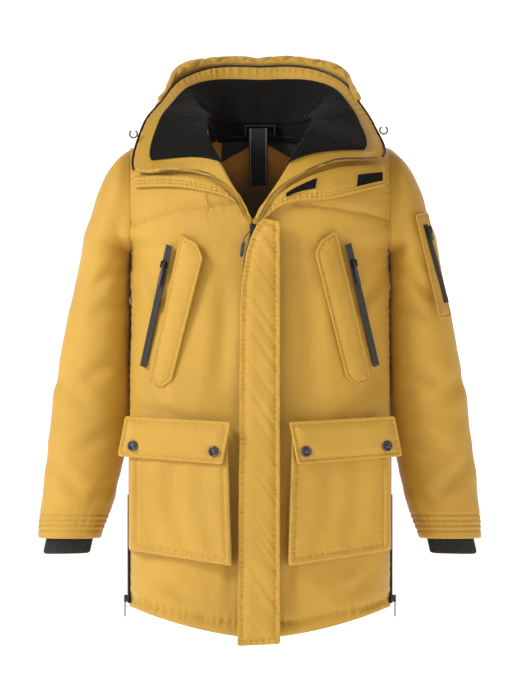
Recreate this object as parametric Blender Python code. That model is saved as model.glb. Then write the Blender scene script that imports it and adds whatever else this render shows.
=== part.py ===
"""Padded winter parka, hanging by its neck loop with the collar open.

Units are metres, +Z is up, -Y is the front and +X is the wearer's left.
The model is laid out about the neck point and then moved so that the
underside of the hanger loop is the origin.
"""
import bpy
from math import cos, pi, radians, sin, sqrt
from mathutils import Matrix, Vector

# ---- driving dimensions ------------------------------------------------
HALF_WIDTH = 0.222         # torso half width, and the armhole plane
ARMHOLE_BULGE = 0.018      # how far the chest curve would pass that plane
FRONT_Y = -0.150           # centre front line
BACK_DEPTH_CHEST = 0.115
BACK_DEPTH_HEM = 0.155
HEM_SHIFT = -0.035         # side seams lean forward towards the hem
FRONT_ROUNDNESS = 2.6      # superellipse exponents of the body section
BACK_ROUNDNESS = 2.1
NECK_HALF = 0.090
RIDGE_Y = 0.010            # shoulder seam
NECK_BACK_Y = 0.078        # back neck seam
SHOULDER_TIP_Z = -0.040
SHOULDER_ROUND = 0.130     # height over which the shoulder rounds down
ARMPIT_Z = -0.217
HEM_SIDE_Z = -0.818
HEM_CENTRE_Z = -0.868
NECK_CORNER_Z = -0.037
NECK_CORNER_X = {-1: -0.086, 1: 0.073}
ZIP_X = -0.012             # main zip, a little to the wearer's right
VEE_BOTTOM_Z = -0.165

PANEL = 0.009              # quilted shell and wadding
LINING = 0.003
SEAM_GAP = 0.0005          # clearance between neighbouring layers
SEAM_HALF_GAP = 0.0003
FACING_GAP = 0.003          # neck facing hangs free of the lining

LOOP_Y = 0.066             # hanger loop, measured from the neck point
LOOP_HALF_LENGTH = 0.026
LOOP_STRAP = 0.010
LOOP_THICKNESS = 0.002
LOOP_DROP = 0.014
LABEL_X = -0.003
LABEL_HALF = 0.016
LABEL_LENGTH = 0.098
LABEL_LEAN = 0.0

SIDES = {"right": -1, "left": 1}

YELLOW = (0.60, 0.36, 0.075, 1)
ORANGE = (0.42, 0.13, 0.03, 1)
BLACK = (0.018, 0.017, 0.019, 1)
FLEECE = (0.016, 0.014, 0.015, 1)
RUBBER = (0.045, 0.045, 0.05, 1)
GUNMETAL = (0.09, 0.09, 0.11, 1)
KNIT = (0.02, 0.02, 0.022, 1)
GREY = (0.35, 0.35, 0.35, 1)


# ---- scene and materials ----------------------------------------------
def clear_scene():
    for obj in list(bpy.data.objects):
        bpy.data.objects.remove(obj, do_unlink=True)


def make_material(name, colour, roughness, metallic=0.0):
    material = bpy.data.materials.new(name)
    material.use_nodes = True
    shader = material.node_tree.nodes["Principled BSDF"]
    shader.inputs["Base Color"].default_value = colour
    shader.inputs["Roughness"].default_value = roughness
    shader.inputs["Metallic"].default_value = metallic
    return material


def add_object(name, verts, faces, finish, pivot=None, smooth=False):
    """One named object, with its origin at the pivot of its joint."""
    origin = Vector(pivot) if pivot is not None else Vector((0, 0, 0))
    mesh = bpy.data.meshes.new(name)
    mesh.from_pydata([tuple(Vector(v) - origin) for v in verts], [], faces)
    mesh.validate()
    obj = bpy.data.objects.new(name, mesh)
    obj.location = origin
    bpy.context.collection.objects.link(obj)
    mesh.materials.append(make_material(name + "_finish", *finish))
    if smooth:
        mesh.shade_smooth()
        mesh.set_sharp_from_angle(angle=radians(40))
    return obj


SHELL_FINISH = (YELLOW, 0.62)
LINING_FINISH = (ORANGE, 0.7)
BLACK_FINISH = (BLACK, 0.45)
FLEECE_FINISH = (FLEECE, 0.95)
RUBBER_FINISH = (RUBBER, 0.5)
SNAP_FINISH = (GUNMETAL, 0.35, 1.0)
KNIT_FINISH = (KNIT, 0.9)


# ---- solid builders ----------------------------------------------------
def signed_volume(verts, faces):
    total = 0.0
    for face in faces:
        first = Vector(verts[face[0]])
        for second, third in zip(face[1:-1], face[2:]):
            total += first.dot(Vector(verts[second]).cross(Vector(verts[third])))
    return total


def facing_out(verts, faces):
    if signed_volume(verts, faces) < 0:
        return [tuple(reversed(face)) for face in faces]
    return faces


def slab(name, outer, inner, finish, pivot=None, smooth=True):
    """Closed sheet between two grids of points, outer[i][j] and inner[i][j]."""
    rows, columns = len(outer), len(outer[0])
    verts = [p for row in outer for p in row] + [p for row in inner for p in row]
    shift = rows * columns

    def index(i, j, layer=0):
        return layer * shift + i * columns + j

    faces = []
    for i in range(rows - 1):
        for j in range(columns - 1):
            faces.append((index(i, j), index(i, j + 1), index(i + 1, j + 1), index(i + 1, j)))
            faces.append((index(i, j, 1), index(i + 1, j, 1),
                          index(i + 1, j + 1, 1), index(i, j + 1, 1)))
    for i in range(rows - 1):
        faces.append((index(i, 0), index(i + 1, 0), index(i + 1, 0, 1), index(i, 0, 1)))
        last = columns - 1
        faces.append((index(i, last), index(i, last, 1),
                      index(i + 1, last, 1), index(i + 1, last)))
    for j in range(columns - 1):
        faces.append((index(0, j), index(0, j, 1), index(0, j + 1, 1), index(0, j + 1)))
        last = rows - 1
        faces.append((index(last, j), index(last, j + 1),
                      index(last, j + 1, 1), index(last, j, 1)))
    return add_object(name, verts, facing_out(verts, faces), finish, pivot, smooth)


def tube(name, outer, inner, finish, pivot=None):
    """Closed open-ended tube between two stacks of rings with equal point counts."""
    rows, columns = len(outer), len(outer[0])
    verts = [p for row in outer for p in row] + [p for row in inner for p in row]
    shift = rows * columns

    def index(i, j, layer=0):
        return layer * shift + i * columns + j % columns

    faces = []
    for j in range(columns):
        for i in range(rows - 1):
            faces.append((index(i, j), index(i, j + 1), index(i + 1, j + 1), index(i + 1, j)))
            faces.append((index(i, j, 1), index(i + 1, j, 1),
                          index(i + 1, j + 1, 1), index(i, j + 1, 1)))
        last = rows - 1
        faces.append((index(0, j), index(0, j, 1), index(0, j + 1, 1), index(0, j + 1)))
        faces.append((index(last, j), index(last, j + 1),
                      index(last, j + 1, 1), index(last, j, 1)))
    return add_object(name, verts, facing_out(verts, faces), finish, pivot, smooth=True)


def prism(name, outline, thickness_vector, finish, pivot=None, smooth=False):
    """Flat plate: a 3-D outline in one plane, thickened along a vector."""
    depth = Vector(thickness_vector)
    near = [Vector(p) for p in outline]
    verts = near + [p + depth for p in near]
    count = len(near)
    faces = [tuple(range(count)), tuple(range(2 * count - 1, count - 1, -1))]
    for k in range(count):
        following = (k + 1) % count
        faces.append((following, k, k + count, following + count))
    return add_object(name, verts, facing_out(verts, faces), finish, pivot, smooth)


# ---- small maths -------------------------------------------------------
def mix(a, b, share):
    return a + (b - a) * share


def smoothstep(low, high, value):
    share = min(max((value - low) / (high - low), 0.0), 1.0)
    return share * share * (3 - 2 * share)


def spaced(start, stop, count):
    return [mix(start, stop, k / (count - 1)) for k in range(count)]


def along(points, share):
    """Point at an even share of a hand-set polyline, rounded at its corners."""
    place = share * (len(points) - 1)
    k = min(int(place), len(points) - 2)
    t = place - k
    p1, p2 = Vector(points[k]), Vector(points[k + 1])
    p0 = Vector(points[k - 1]) if k > 0 else p1 * 2 - p2
    p3 = Vector(points[k + 2]) if k + 2 < len(points) else p2 * 2 - p1
    return 0.5 * ((2 * p1) + (p2 - p0) * t + (2 * p0 - 5 * p1 + 4 * p2 - p3) * t * t
                  + (3 * p1 - p0 - 3 * p2 + p3) * t ** 3)


# ---- torso surface -----------------------------------------------------
def section_centre(z):
    return HEM_SHIFT * smoothstep(-0.25, -0.62, z)


def section_half_width(z):
    return HALF_WIDTH + ARMHOLE_BULGE * smoothstep(ARMPIT_Z + 0.002, ARMPIT_Z + 0.03, z)


def ridge_z(x):
    share = max(abs(x) - NECK_HALF, 0.0) / (HALF_WIDTH - NECK_HALF)
    return SHOULDER_TIP_Z * share


def ridge_y(x, facing):
    if facing < 0 or abs(x) >= NECK_HALF:
        return RIDGE_Y
    return RIDGE_Y + (NECK_BACK_Y - RIDGE_Y) * sqrt(1 - (x / NECK_HALF) ** 2)


def torso_y(x, z, facing):
    """Outer surface of the body; facing is -1 for the front and 1 for the back."""
    centre = section_centre(z)
    half = section_half_width(z)
    across = min(abs(x) / half, 1.0)
    if facing < 0:
        depth = centre - FRONT_Y
        roundness = FRONT_ROUNDNESS
    else:
        depth = mix(BACK_DEPTH_CHEST, BACK_DEPTH_HEM, smoothstep(-0.2, -0.6, z))
        roundness = BACK_ROUNDNESS
    low = centre + facing * depth * (1 - across ** roundness) ** (1 / roundness)
    drop = min(max((ridge_z(x) - z) / SHOULDER_ROUND, 0.0), 1.0)
    return mix(ridge_y(x, facing), low, sqrt(1 - (1 - drop) ** 2))


def torso_normal(x, z, facing):
    step = 0.0004
    half = section_half_width(z)
    outward = 1 if x > 0 else -1
    if abs(x) > half - step:
        return Vector((outward, 0, 0))
    if abs(x) > NECK_HALF and z > ridge_z(x) - step:
        fall = -SHOULDER_TIP_Z / (HALF_WIDTH - NECK_HALF)
        return Vector((outward * fall, 0, 1)).normalized()
    x = min(max(x, -half + 2 * step), half - 2 * step)
    z = min(z, ridge_z(x) - 2 * step)
    slope_x = (torso_y(x + step, z, facing) - torso_y(x - step, z, facing)) / (2 * step)
    slope_z = (torso_y(x, z + step, facing) - torso_y(x, z - step, facing)) / (2 * step)
    return (Vector((slope_x, -1, slope_z)) * -facing).normalized()


def torso_point(x, z, height, facing=-1):
    """Point at a height over the body's outer surface, clear of the side seam."""
    surface = Vector((x, torso_y(x, z, facing) + facing * SEAM_HALF_GAP, z))
    return surface + torso_normal(x, z, facing) * height


def hem_z(x):
    return mix(HEM_CENTRE_Z, HEM_SIDE_Z, (abs(x) / HALF_WIDTH) ** 1.6)


# ---- body panels -------------------------------------------------------
def neck_edge_z(x):
    """Top edge of the front panels: shoulder, neck corner, then the open V."""
    side = 1 if x > ZIP_X else -1
    corner = abs(NECK_CORNER_X[side])
    if abs(x) >= NECK_HALF:
        return ridge_z(x)
    if abs(x) >= corner and x * side > 0:
        return mix(0.0, NECK_CORNER_Z, (NECK_HALF - abs(x)) / (NECK_HALF - corner))
    share = (x - ZIP_X) / (NECK_CORNER_X[side] - ZIP_X)
    return mix(VEE_BOTTOM_Z, NECK_CORNER_Z, share)


def front_columns(side):
    corner = NECK_CORNER_X[side]
    inner = spaced(ZIP_X + side * SEAM_HALF_GAP, corner, 4)
    neck = [mix(corner, side * NECK_HALF, 0.5), side * NECK_HALF]
    chest = [side * share * HALF_WIDTH for share in (0.58, 0.75, 0.87, 0.945, 0.985, 1.0)]
    return inner + neck + chest


def column_rows(top, bottom):
    """Heights down one column, closer together where the shoulder turns."""
    upper = [mix(top, ARMPIT_Z, share) for share in (0, 0.04, 0.15, 0.33, 0.6, 0.86, 1.0)]
    lower = [mix(ARMPIT_Z, bottom, share) for share in (0.06, 0.3, 0.55, 0.8, 1.0)]
    return upper + lower


def panel_grid(columns, top_of, height, facing):
    return [[torso_point(x, z, height, facing) for z in column_rows(top_of(x), hem_z(x))]
            for x in columns]


def back_neck_z(x):
    return ridge_z(x) - 0.001


def add_layer(name, columns, top_of, facing, top_height, bottom_height, finish):
    outer = panel_grid(columns, top_of, top_height, facing)
    inner = panel_grid(columns, top_of, bottom_height, facing)
    slab(name, outer, inner, finish)


def back_columns():
    half = [share * HALF_WIDTH for share in (0.985, 0.93, 0.8, 0.62)]
    middle = [share * NECK_HALF for share in (1.0, 0.9, 0.66, 0.33, 0.0)]
    positive = half + middle
    return [-x for x in positive[:-1]] + positive[::-1]


def add_body():
    lining_top = -PANEL - SEAM_GAP
    lining_bottom = lining_top - LINING
    edges = [-HALF_WIDTH] + back_columns() + [HALF_WIDTH]
    add_layer("back_panel", edges, back_neck_z, 1, 0.0, -PANEL, SHELL_FINISH)
    add_layer("back_lining", edges, back_neck_z, 1, lining_top, lining_bottom, LINING_FINISH)
    for word, side in SIDES.items():
        columns = front_columns(side)
        add_layer("front_panel_" + word, columns, neck_edge_z, -1, 0.0, -PANEL, SHELL_FINISH)
        add_layer("front_lining_" + word, columns, neck_edge_z, -1,
                  lining_top, lining_bottom, LINING_FINISH)


def add_neck_pieces():
    facing_top = -PANEL - LINING - FACING_GAP
    columns = spaced(-0.07, 0.07, 9)

    def rows(x):
        return spaced(-0.006, -0.018 - 0.55 * abs(x), 4)

    outer = [[torso_point(x, z, facing_top, 1) for z in rows(x)] for x in columns]
    inner = [[torso_point(x, z, facing_top - 0.002, 1) for z in rows(x)] for x in columns]
    slab("neck_facing", outer, inner, BLACK_FINISH)

    front = LOOP_Y - LOOP_STRAP / 2
    half = LOOP_HALF_LENGTH
    outline = [(-half, front, -LOOP_DROP), (-half, front, LOOP_THICKNESS),
               (half, front, LOOP_THICKNESS), (half, front, -LOOP_DROP),
               (half - LOOP_THICKNESS, front, -LOOP_DROP), (half - LOOP_THICKNESS, front, 0),
               (-half + LOOP_THICKNESS, front, 0), (-half + LOOP_THICKNESS, front, -LOOP_DROP)]
    prism("hanger_loop", outline, (0, LOOP_STRAP, 0), BLACK_FINISH)

    label_y = LOOP_Y - LOOP_STRAP / 2 - 0.003
    label = [(LABEL_X - LABEL_HALF, label_y, -0.004), (LABEL_X + LABEL_HALF, label_y, -0.004),
             (LABEL_X + LABEL_HALF, label_y - LABEL_LEAN, -0.004 - LABEL_LENGTH),
             (LABEL_X - LABEL_HALF, label_y - LABEL_LEAN, -0.004 - LABEL_LENGTH)]
    prism("neck_label", label, (0, -0.0012, 0), BLACK_FINISH)


# ---- collar ------------------------------------------------------------
COLLAR = 0.008
FLEECE_PILE = 0.003
FLEECE_GAP = 0.0024
PATCH = 0.0015
FLEECE_SHORT = 4           # collar steps that the fleece stops short of each end
LAPEL = 0.006
COLLAR_LIE = 0.003         # height of the open collar over the chest
COLLAR_STEPS = 22          # steps from one end of the collar to the other
STAND_SEAM = [(0, 0.087, 0.003), (0.050, 0.080, 0.003), (0.080, 0.047, 0.004),
              (0.0925, 0.012, 0.006), (0.0915, -0.035, 0.003)]
STAND_TOP = [(0, 0.117, 0.102), (0.055, 0.114, 0.103), (0.100, 0.100, 0.095),
             (0.141, 0.070, 0.073), (0.166, 0.030, 0.038)]
# Open front of the collar, as (x, z, height over the chest).
WING_SEAM = {1: [(0.088, -0.014, 0.007), (0.076, -0.035, 0.007), (0.045, -0.080, 0.005),
                 (0.020, -0.117, 0.003), (0.000, -0.146, 0.003)],
             -1: [(-0.0895, -0.014, 0.007), (-0.087, -0.037, 0.007), (-0.062, -0.080, 0.008),
                  (-0.040, -0.116, 0.003), (-0.024, -0.144, 0.003)]}
WING_EDGE = {1: [(0.184, -0.030, 0.026), (0.197, -0.068, 0.016), (0.121, -0.075, 0.011),
                 (0.060, -0.0985, 0.007), (0.0225, -0.125, 0.005)],
             -1: [(-0.187, -0.033, 0.030), (-0.202, -0.087, 0.014), (-0.142, -0.088, 0.010),
                  (-0.085, -0.094, 0.009), (-0.044, -0.122, 0.005)]}
WING_END = {1: ((-0.008, -0.163, 0.003), (-0.003, -0.166, 0.004)),
            -1: ((-0.016, -0.163, 0.003), (-0.0215, -0.158, 0.004))}
LAPEL_OUTER = {1: [(0.2075, -0.0725), (0.124, -0.0800), (0.063, -0.103), (0.026, -0.129), (0.002, -0.164)],
               -1: [(-0.209, -0.0915), (-0.143, -0.0925), (-0.087, -0.0985), (-0.047, -0.126), (-0.026, -0.158)]}
LAPEL_LOWER = {1: [(0.2085, -0.108), (0.116, -0.131), (0.062, -0.134), (0.030, -0.146), (0.006, -0.168)],
               -1: [(-0.210, -0.111), (-0.141, -0.111), (-0.078, -0.121), (-0.044, -0.134), (-0.029, -0.162)]}


def mirrored(points, side):
    return [Vector((side * x, y, z)) for x, y, z in points]


def collar_line(side, stand, wing, end):
    chest = [torso_point(x, z, height) for x, z, height in wing[side] + [end[side]]]
    return mirrored(stand, side) + chest


def collar_lines(side):
    seam_end = {key: value[0] for key, value in WING_END.items()}
    top_end = {key: value[1] for key, value in WING_END.items()}
    return (collar_line(side, STAND_SEAM, WING_SEAM, seam_end),
            collar_line(side, STAND_TOP, WING_EDGE, top_end))


def collar_surface(place, rise):
    """place runs -1..1 from the right end round the neck to the left end; rise 0..1."""
    side = 1 if place >= 0 else -1
    seam, top = collar_lines(side)
    low, high = along(seam, abs(place)), along(top, abs(place))
    return low.lerp(high, rise)


def collar_normal(place, rise):
    """Unit vector towards the lined side of the collar."""
    step = 0.02
    start, stop = max(place - step, -1), min(place + step, 1)
    round_neck = collar_surface(stop, rise) - collar_surface(start, rise)
    upward = collar_surface(place, 1) - collar_surface(place, 0)
    return round_neck.cross(upward).normalized()


def collar_grid(places, rises, height):
    return [[collar_surface(u, v) + collar_normal(u, v) * height for v in rises] for u in places]


def add_collar():
    places = spaced(-1, 1, COLLAR_STEPS + 1)
    rises = (0.0, 0.25, 0.5, 0.75, 1.0)
    slab("collar_shell", collar_grid(places, rises, 0.0),
         collar_grid(places, rises, COLLAR), SHELL_FINISH)
    covered = COLLAR_STEPS // 2 - FLEECE_SHORT
    fleece_places = places[COLLAR_STEPS // 2 - covered:COLLAR_STEPS // 2 + covered + 1]
    fleece_rises = (0.05, 0.25, 0.45, 0.62, 0.76)
    low = COLLAR + FLEECE_GAP
    slab("collar_fleece", collar_grid(fleece_places, fleece_rises, low),
         collar_grid(fleece_places, fleece_rises, low + FLEECE_PILE), FLEECE_FINISH)


def chest_patch(name, upper, lower, low_height, thickness, steps, finish):
    """Sheet lying on the chest between two lines of (x, z) points."""
    def grid(height):
        rows = []
        for k in range(steps + 1):
            a = along([(x, z, 0) for x, z in upper], k / steps)
            b = along([(x, z, 0) for x, z in lower], k / steps)
            rows.append([torso_point(p.x, p.y, height) for p in (a, a.lerp(b, 0.5), b)])
        return rows
    return slab(name, grid(low_height + thickness), grid(low_height), finish)


def add_lapels():
    for word, side in SIDES.items():
        chest_patch("lapel_" + word, LAPEL_OUTER[side], LAPEL_LOWER[side],
                    COLLAR_LIE, LAPEL, 12, SHELL_FINISH)


def add_collar_patches():
    """Soft fastening patches on the wearer's left lapel."""
    height = COLLAR_LIE + LAPEL + SEAM_GAP
    upper = [(x, z - 0.006) for x, z in LAPEL_OUTER[1]]
    lower = [(x, z + 0.006) for x, z in LAPEL_LOWER[1]]

    def place(share, rise):
        a = along([(x, z, 0) for x, z in upper], share)
        return a.lerp(along([(x, z, 0) for x, z in lower], share), rise)

    def patch(name, start, stop, rises):
        rows = {height: [], height + PATCH: []}
        for level, found in rows.items():
            for share in spaced(start, stop, 4):
                points = [place(share, rise) for rise in rises]
                found.append([torso_point(p.x, p.y, level) for p in points])
        slab(name, rows[height + PATCH], rows[height], BLACK_FINISH)

    patch("collar_patch_end", 0.02, 0.13, (0.35, 0.6, 0.9))
    patch("collar_patch_fold", 0.36, 0.62, (0.1, 0.35, 0.6))


# ---- sleeves -----------------------------------------------------------
SLEEVE_GAP = 0.0006        # between the sleeve's end and the armhole plane
ARMPIT_FILLET = 0.0015
SLEEVE_SIDES = 16
SLEEVE_WALL = 0.008
SLEEVE_PIVOT_Z = SHOULDER_TIP_Z
# Crown of the sleeve: angle out from the armhole about the armpit, and width there.
CROWN = [(0, 0.1745), (8, 0.155), (17, 0.134), (30, 0.108), (48, 0.0870), (70, 0.0825), (90, 0.0830)]
# Arm of the sleeve: height, centre, half width.
ARM = [(-0.300, 0.2730, 0.0485), (-0.385, 0.2815, 0.0560), (-0.470, 0.2885, 0.0635),
       (-0.560, 0.2985, 0.0655), (-0.640, 0.3105, 0.0620), (-0.705, 0.3250, 0.0535)]
ARMHOLE_CENTRE_Y = -0.016
ARMHOLE_HALF_DEPTH = 0.062
WRIST_CENTRE_Y = 0.015
WRIST_HALF_DEPTH = 0.050
UPPER_HALF_DEPTH = 0.070
CUFF_TOP_Z = -0.668
CUFF_BOTTOM_Z = -0.731
CUFF_HALF = 0.0400
CUFF_WALL = 0.004


def sleeve_depths(share):
    """Centre and half depth, front to back, at a share of the way down the sleeve."""
    centre = mix(ARMHOLE_CENTRE_Y, WRIST_CENTRE_Y, share)
    if share < 0.3:
        return centre, mix(ARMHOLE_HALF_DEPTH, UPPER_HALF_DEPTH, share / 0.3)
    return centre, mix(UPPER_HALF_DEPTH, WRIST_HALF_DEPTH, (share - 0.3) / 0.7)


def sleeve_ring(side, centre, direction, half_width, centre_y, half_depth, inset):
    ring = []
    for k in range(SLEEVE_SIDES):
        turn = 2 * pi * k / SLEEVE_SIDES
        along_ring = (half_width - inset) * cos(turn)
        across_ring = centre_y + (half_depth - inset) * sin(turn)
        x = centre[0] + direction[0] * along_ring
        z = centre[1] + direction[1] * along_ring
        ring.append(Vector((side * x, across_ring, z)))
    return ring


def sleeve_rings(side, inset):
    armpit_x = HALF_WIDTH + SLEEVE_GAP
    rings = []
    for angle, width in CROWN:
        turn = radians(angle)
        direction = (sin(turn), cos(turn))
        reach = ARMPIT_FILLET + width / 2
        centre = (armpit_x + reach * direction[0], ARMPIT_Z + reach * direction[1])
        centre_y, half_depth = sleeve_depths(0.3 * angle / 90)
        rings.append(sleeve_ring(side, centre, direction, width / 2, centre_y, half_depth, inset))
    for z, centre_x, half_width in ARM:
        share = 0.3 + 0.7 * (z - ARMPIT_Z) / (ARM[-1][0] - ARMPIT_Z)
        centre_y, half_depth = sleeve_depths(share)
        rings.append(sleeve_ring(side, (centre_x, z), (1, 0), half_width, centre_y, half_depth, inset))
    return rings


def cuff_rings(side, inset):
    rings = []
    for z in spaced(CUFF_TOP_Z, CUFF_BOTTOM_Z, 3):
        centre_x = mix(ARM[-2][1], ARM[-1][1], (z - ARM[-2][0]) / (ARM[-1][0] - ARM[-2][0]))
        rings.append(sleeve_ring(side, (centre_x, z), (1, 0), CUFF_HALF, WRIST_CENTRE_Y, CUFF_HALF, inset))
    return rings


def add_sleeves():
    for word, side in SIDES.items():
        pivot = (side * HALF_WIDTH, ARMHOLE_CENTRE_Y, SLEEVE_PIVOT_Z)
        lining_top = SLEEVE_WALL + SEAM_GAP
        tube("sleeve_" + word, sleeve_rings(side, 0), sleeve_rings(side, SLEEVE_WALL),
             SHELL_FINISH, pivot)
        lining = [sleeve_rings(side, inset)[:-1] for inset in (lining_top, lining_top + LINING)]
        tube("sleeve_lining_" + word, lining[0], lining[1], LINING_FINISH, pivot)
        tube("knit_cuff_" + word, cuff_rings(side, 0), cuff_rings(side, CUFF_WALL),
             KNIT_FINISH, pivot)


# ---- hood --------------------------------------------------------------
HOOD_WALL = 0.006
HOOD_PIVOT = (0, 0.128, 0.106)
# Section of the folded hood from its zip over the rim and down to the pouch, at the
# centre back and at its sides: (distance out from the collar top, height over it).
HOOD_SECTION = [(0.011, 0.008), (0.020, 0.017), (0.040, 0.016), (0.056, 0.000),
                (0.066, -0.035), (0.072, -0.085), (0.070, -0.135), (0.060, -0.172),
                (0.042, -0.182), (0.028, -0.165)]
HOOD_END = 0.44            # share of the collar, from the centre back, that the hood covers
HOOD_SIDE_DROP = 0.30      # height of the pouch at its sides over that at the centre back
HOOD_STEPS = 14
ZIP_BAND = 0.003
ZIP_BAND_GAP = 0.001
ZIP_STEPS = 5              # collar steps each side of the back that the hood zip runs


def hood_point(place, offset, height):
    """Point on the folded hood; its sides taper in to the collar."""
    top = collar_surface(place, 1)
    outward = -collar_normal(place, 1)
    outward = Vector((outward.x, outward.y, 0)).normalized()
    taper = 1 - (abs(place) / HOOD_END) ** 2.5
    drop = height if height > 0 else height * mix(HOOD_SIDE_DROP, 1, taper)
    spread = offset * mix(0.85, 1, taper)
    return top + outward * spread + Vector((0, 0, drop))


def add_hood():
    places = spaced(-HOOD_END, HOOD_END, HOOD_STEPS + 1)
    outer = [[hood_point(u, a, b) for a, b in HOOD_SECTION] for u in places]
    inner = []
    for u in places:
        row = []
        for k, (a, b) in enumerate(HOOD_SECTION):
            before = Vector(HOOD_SECTION[max(k - 1, 0)])
            after = Vector(HOOD_SECTION[min(k + 1, len(HOOD_SECTION) - 1)])
            run = (after - before).normalized()
            row.append(hood_point(u, a + run.y * HOOD_WALL, b - run.x * HOOD_WALL))
        inner.append(row)
    slab("hood_shell", outer, inner, SHELL_FINISH, HOOD_PIVOT)

    middle = COLLAR_STEPS // 2
    zip_places = spaced(-1, 1, COLLAR_STEPS + 1)[middle - ZIP_STEPS:middle + ZIP_STEPS + 1]
    mid = COLLAR / 2

    def strip(height):
        rows = []
        for u in zip_places:
            edge = collar_surface(u, 1) + collar_normal(u, 1) * height
            up = (collar_surface(u, 1) - collar_surface(u, 0)).normalized()
            rows.append([edge + up * ZIP_BAND_GAP, edge + up * (ZIP_BAND_GAP + ZIP_BAND)])
        return rows

    slab("hood_zip", strip(mid - 0.0015), strip(mid + 0.0015), BLACK_FINISH)


# ---- flat pieces on the coat: standing planes --------------------------
class StandingPlane:
    """Upright plane in front of a piece of the coat, square to a compass direction.

    turn is the angle from straight ahead towards the side; places on it are
    given as (x, z), and a height over it.
    """

    def __init__(self, side, turn, samples, clearance, tilt=0.0):
        level = Vector((side * sin(turn), -cos(turn), 0))
        self.normal = (level * cos(tilt) + Vector((0, 0, sin(tilt)))).normalized()
        self.distance = max(self.normal.dot(Vector(p)) for p in samples) + clearance

    def point(self, x, z, height=0.0):
        reach = self.distance + height
        y = (reach - self.normal.x * x - self.normal.z * z) / self.normal.y
        return Vector((x, y, z))


def chest_samples(outline):
    """Points of the body's surface under an outline, with a few between them."""
    samples = []
    count = len(outline)
    for k in range(count):
        for m in range(k, count):
            for share in (0, 0.25, 0.5, 0.75):
                x = mix(outline[k][0], outline[m][0], share)
                z = mix(outline[k][1], outline[m][1], share)
                samples.append(torso_point(x, z, 0))
    return samples


def plate(name, plane, outline, low, high, finish, pivot=None):
    base = [plane.point(x, z, low) for x, z in outline]
    return prism(name, base, plane.normal * (high - low), finish, pivot)


# ---- zips --------------------------------------------------------------
TAPE = 0.002
SLIDER_HALF = 0.0045
SLIDER_LENGTH = 0.012
SLIDER_BASE = 0.0025
SLIDER_CHEEK = 0.0012
SLIDER_CHEEK_HEIGHT = 0.0032
PULL_HALF = 0.0026
PULL_THICKNESS = 0.002
PULL_CLEARANCE = 0.0006
SLIDE_GAP = 0.0004


class ZipLine:
    """Straight zip on a standing plane, from its slider end to its far end."""

    def __init__(self, plane, start, end, half_width):
        self.plane = plane
        self.start = plane.point(*start)
        self.end = plane.point(*end)
        self.run = (self.end - self.start).normalized()
        self.across = self.run.cross(plane.normal).normalized()
        self.half_width = half_width

    def spot(self, along_run, across, height):
        return (self.start + self.run * along_run + self.across * across
                + self.plane.normal * height)

    def tape(self, name, low=0.0):
        length = (self.end - self.start).length
        corners = [(0, -1), (length, -1), (length, 1), (0, 1)]
        outline = [self.spot(a, b * self.half_width, low) for a, b in corners]
        prism(name, outline, self.plane.normal * TAPE, BLACK_FINISH)
        return low + TAPE

    def slider(self, name, tape_top, from_start):
        """Channel-shaped slider whose cheeks hold the pull."""
        low = tape_top + SLIDE_GAP
        top = low + SLIDER_BASE + SLIDER_CHEEK_HEIGHT
        floor = low + SLIDER_BASE
        inner = SLIDER_HALF - SLIDER_CHEEK
        section = [(-SLIDER_HALF, low), (SLIDER_HALF, low), (SLIDER_HALF, top), (inner, top),
                   (inner, floor), (-inner, floor), (-inner, top), (-SLIDER_HALF, top)]
        outline = [self.spot(from_start, b, h) for b, h in section]
        prism(name, outline, self.run * SLIDER_LENGTH, BLACK_FINISH)
        return floor + PULL_CLEARANCE

    def pull(self, name, low, from_start, length):
        """Tapered pull, hinged near its upper end; returns its hinge point."""
        hinge = self.spot(from_start + PULL_THICKNESS, 0, low + PULL_THICKNESS / 2)
        back = -PULL_THICKNESS * 0.4
        outline = [(back, -PULL_HALF * 0.6), (length * 0.3, -PULL_HALF * 0.6),
                   (length * 0.42, -PULL_HALF), (length, -PULL_HALF),
                   (length, PULL_HALF), (length * 0.42, PULL_HALF),
                   (length * 0.3, PULL_HALF * 0.6), (back, PULL_HALF * 0.6)]
        offset = hinge - self.plane.normal * (PULL_THICKNESS / 2)
        corners = [offset + self.run * a + self.across * b for a, b in outline]
        prism(name, corners, self.plane.normal * PULL_THICKNESS, RUBBER_FINISH, hinge)
        return hinge

    def fitted(self, prefix, pull_length, from_start=0.004):
        top = self.tape(prefix)
        low = self.slider(prefix + "_slider", top, from_start)
        return self.pull(prefix + "_pull", low, from_start + 0.001, pull_length)


MAIN_ZIP_TOP_Z = -0.172
MAIN_ZIP_BOTTOM_Z = -0.860
MAIN_TAPE_WIDTH = 0.016
MAIN_CLEARANCE = 0.0015
MAIN_SLIDER_START = 0.005
MAIN_PULL_WIDTH = 0.0035
MAIN_PULL = [(0.0, -0.0), (-0.0135, -0.016), (-0.0155, -0.024), (-0.0195, -0.049)]
PLACKET_BACK_Y = -0.1665
PLACKET = 0.006
PLACKET_HINGE_X = 0.034
PLACKET_OUTLINE = [(PLACKET_HINGE_X, -0.168), (0.006, -0.163), (-0.006, -0.175), (-0.016, -0.196),
                   (-0.024, -0.225), (-0.031, -0.275), (-0.0335, -0.330), (-0.038, -0.8805),
                   (PLACKET_HINGE_X, -0.877)]
CHEST_PULL = 0.040
CHEST_ZIP_TURN = radians(39)
CHEST_ZIP_HALF = 0.0065
CHEST_SLIDER_START = 0.028
CHEST_ZIP = {1: ((0.1476, -0.206), (0.196, -0.411)), -1: ((-0.152, -0.208), (-0.197, -0.412))}
CHEST_FLAP_TURN = radians(25)
CHEST_FLAP = 0.004
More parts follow.
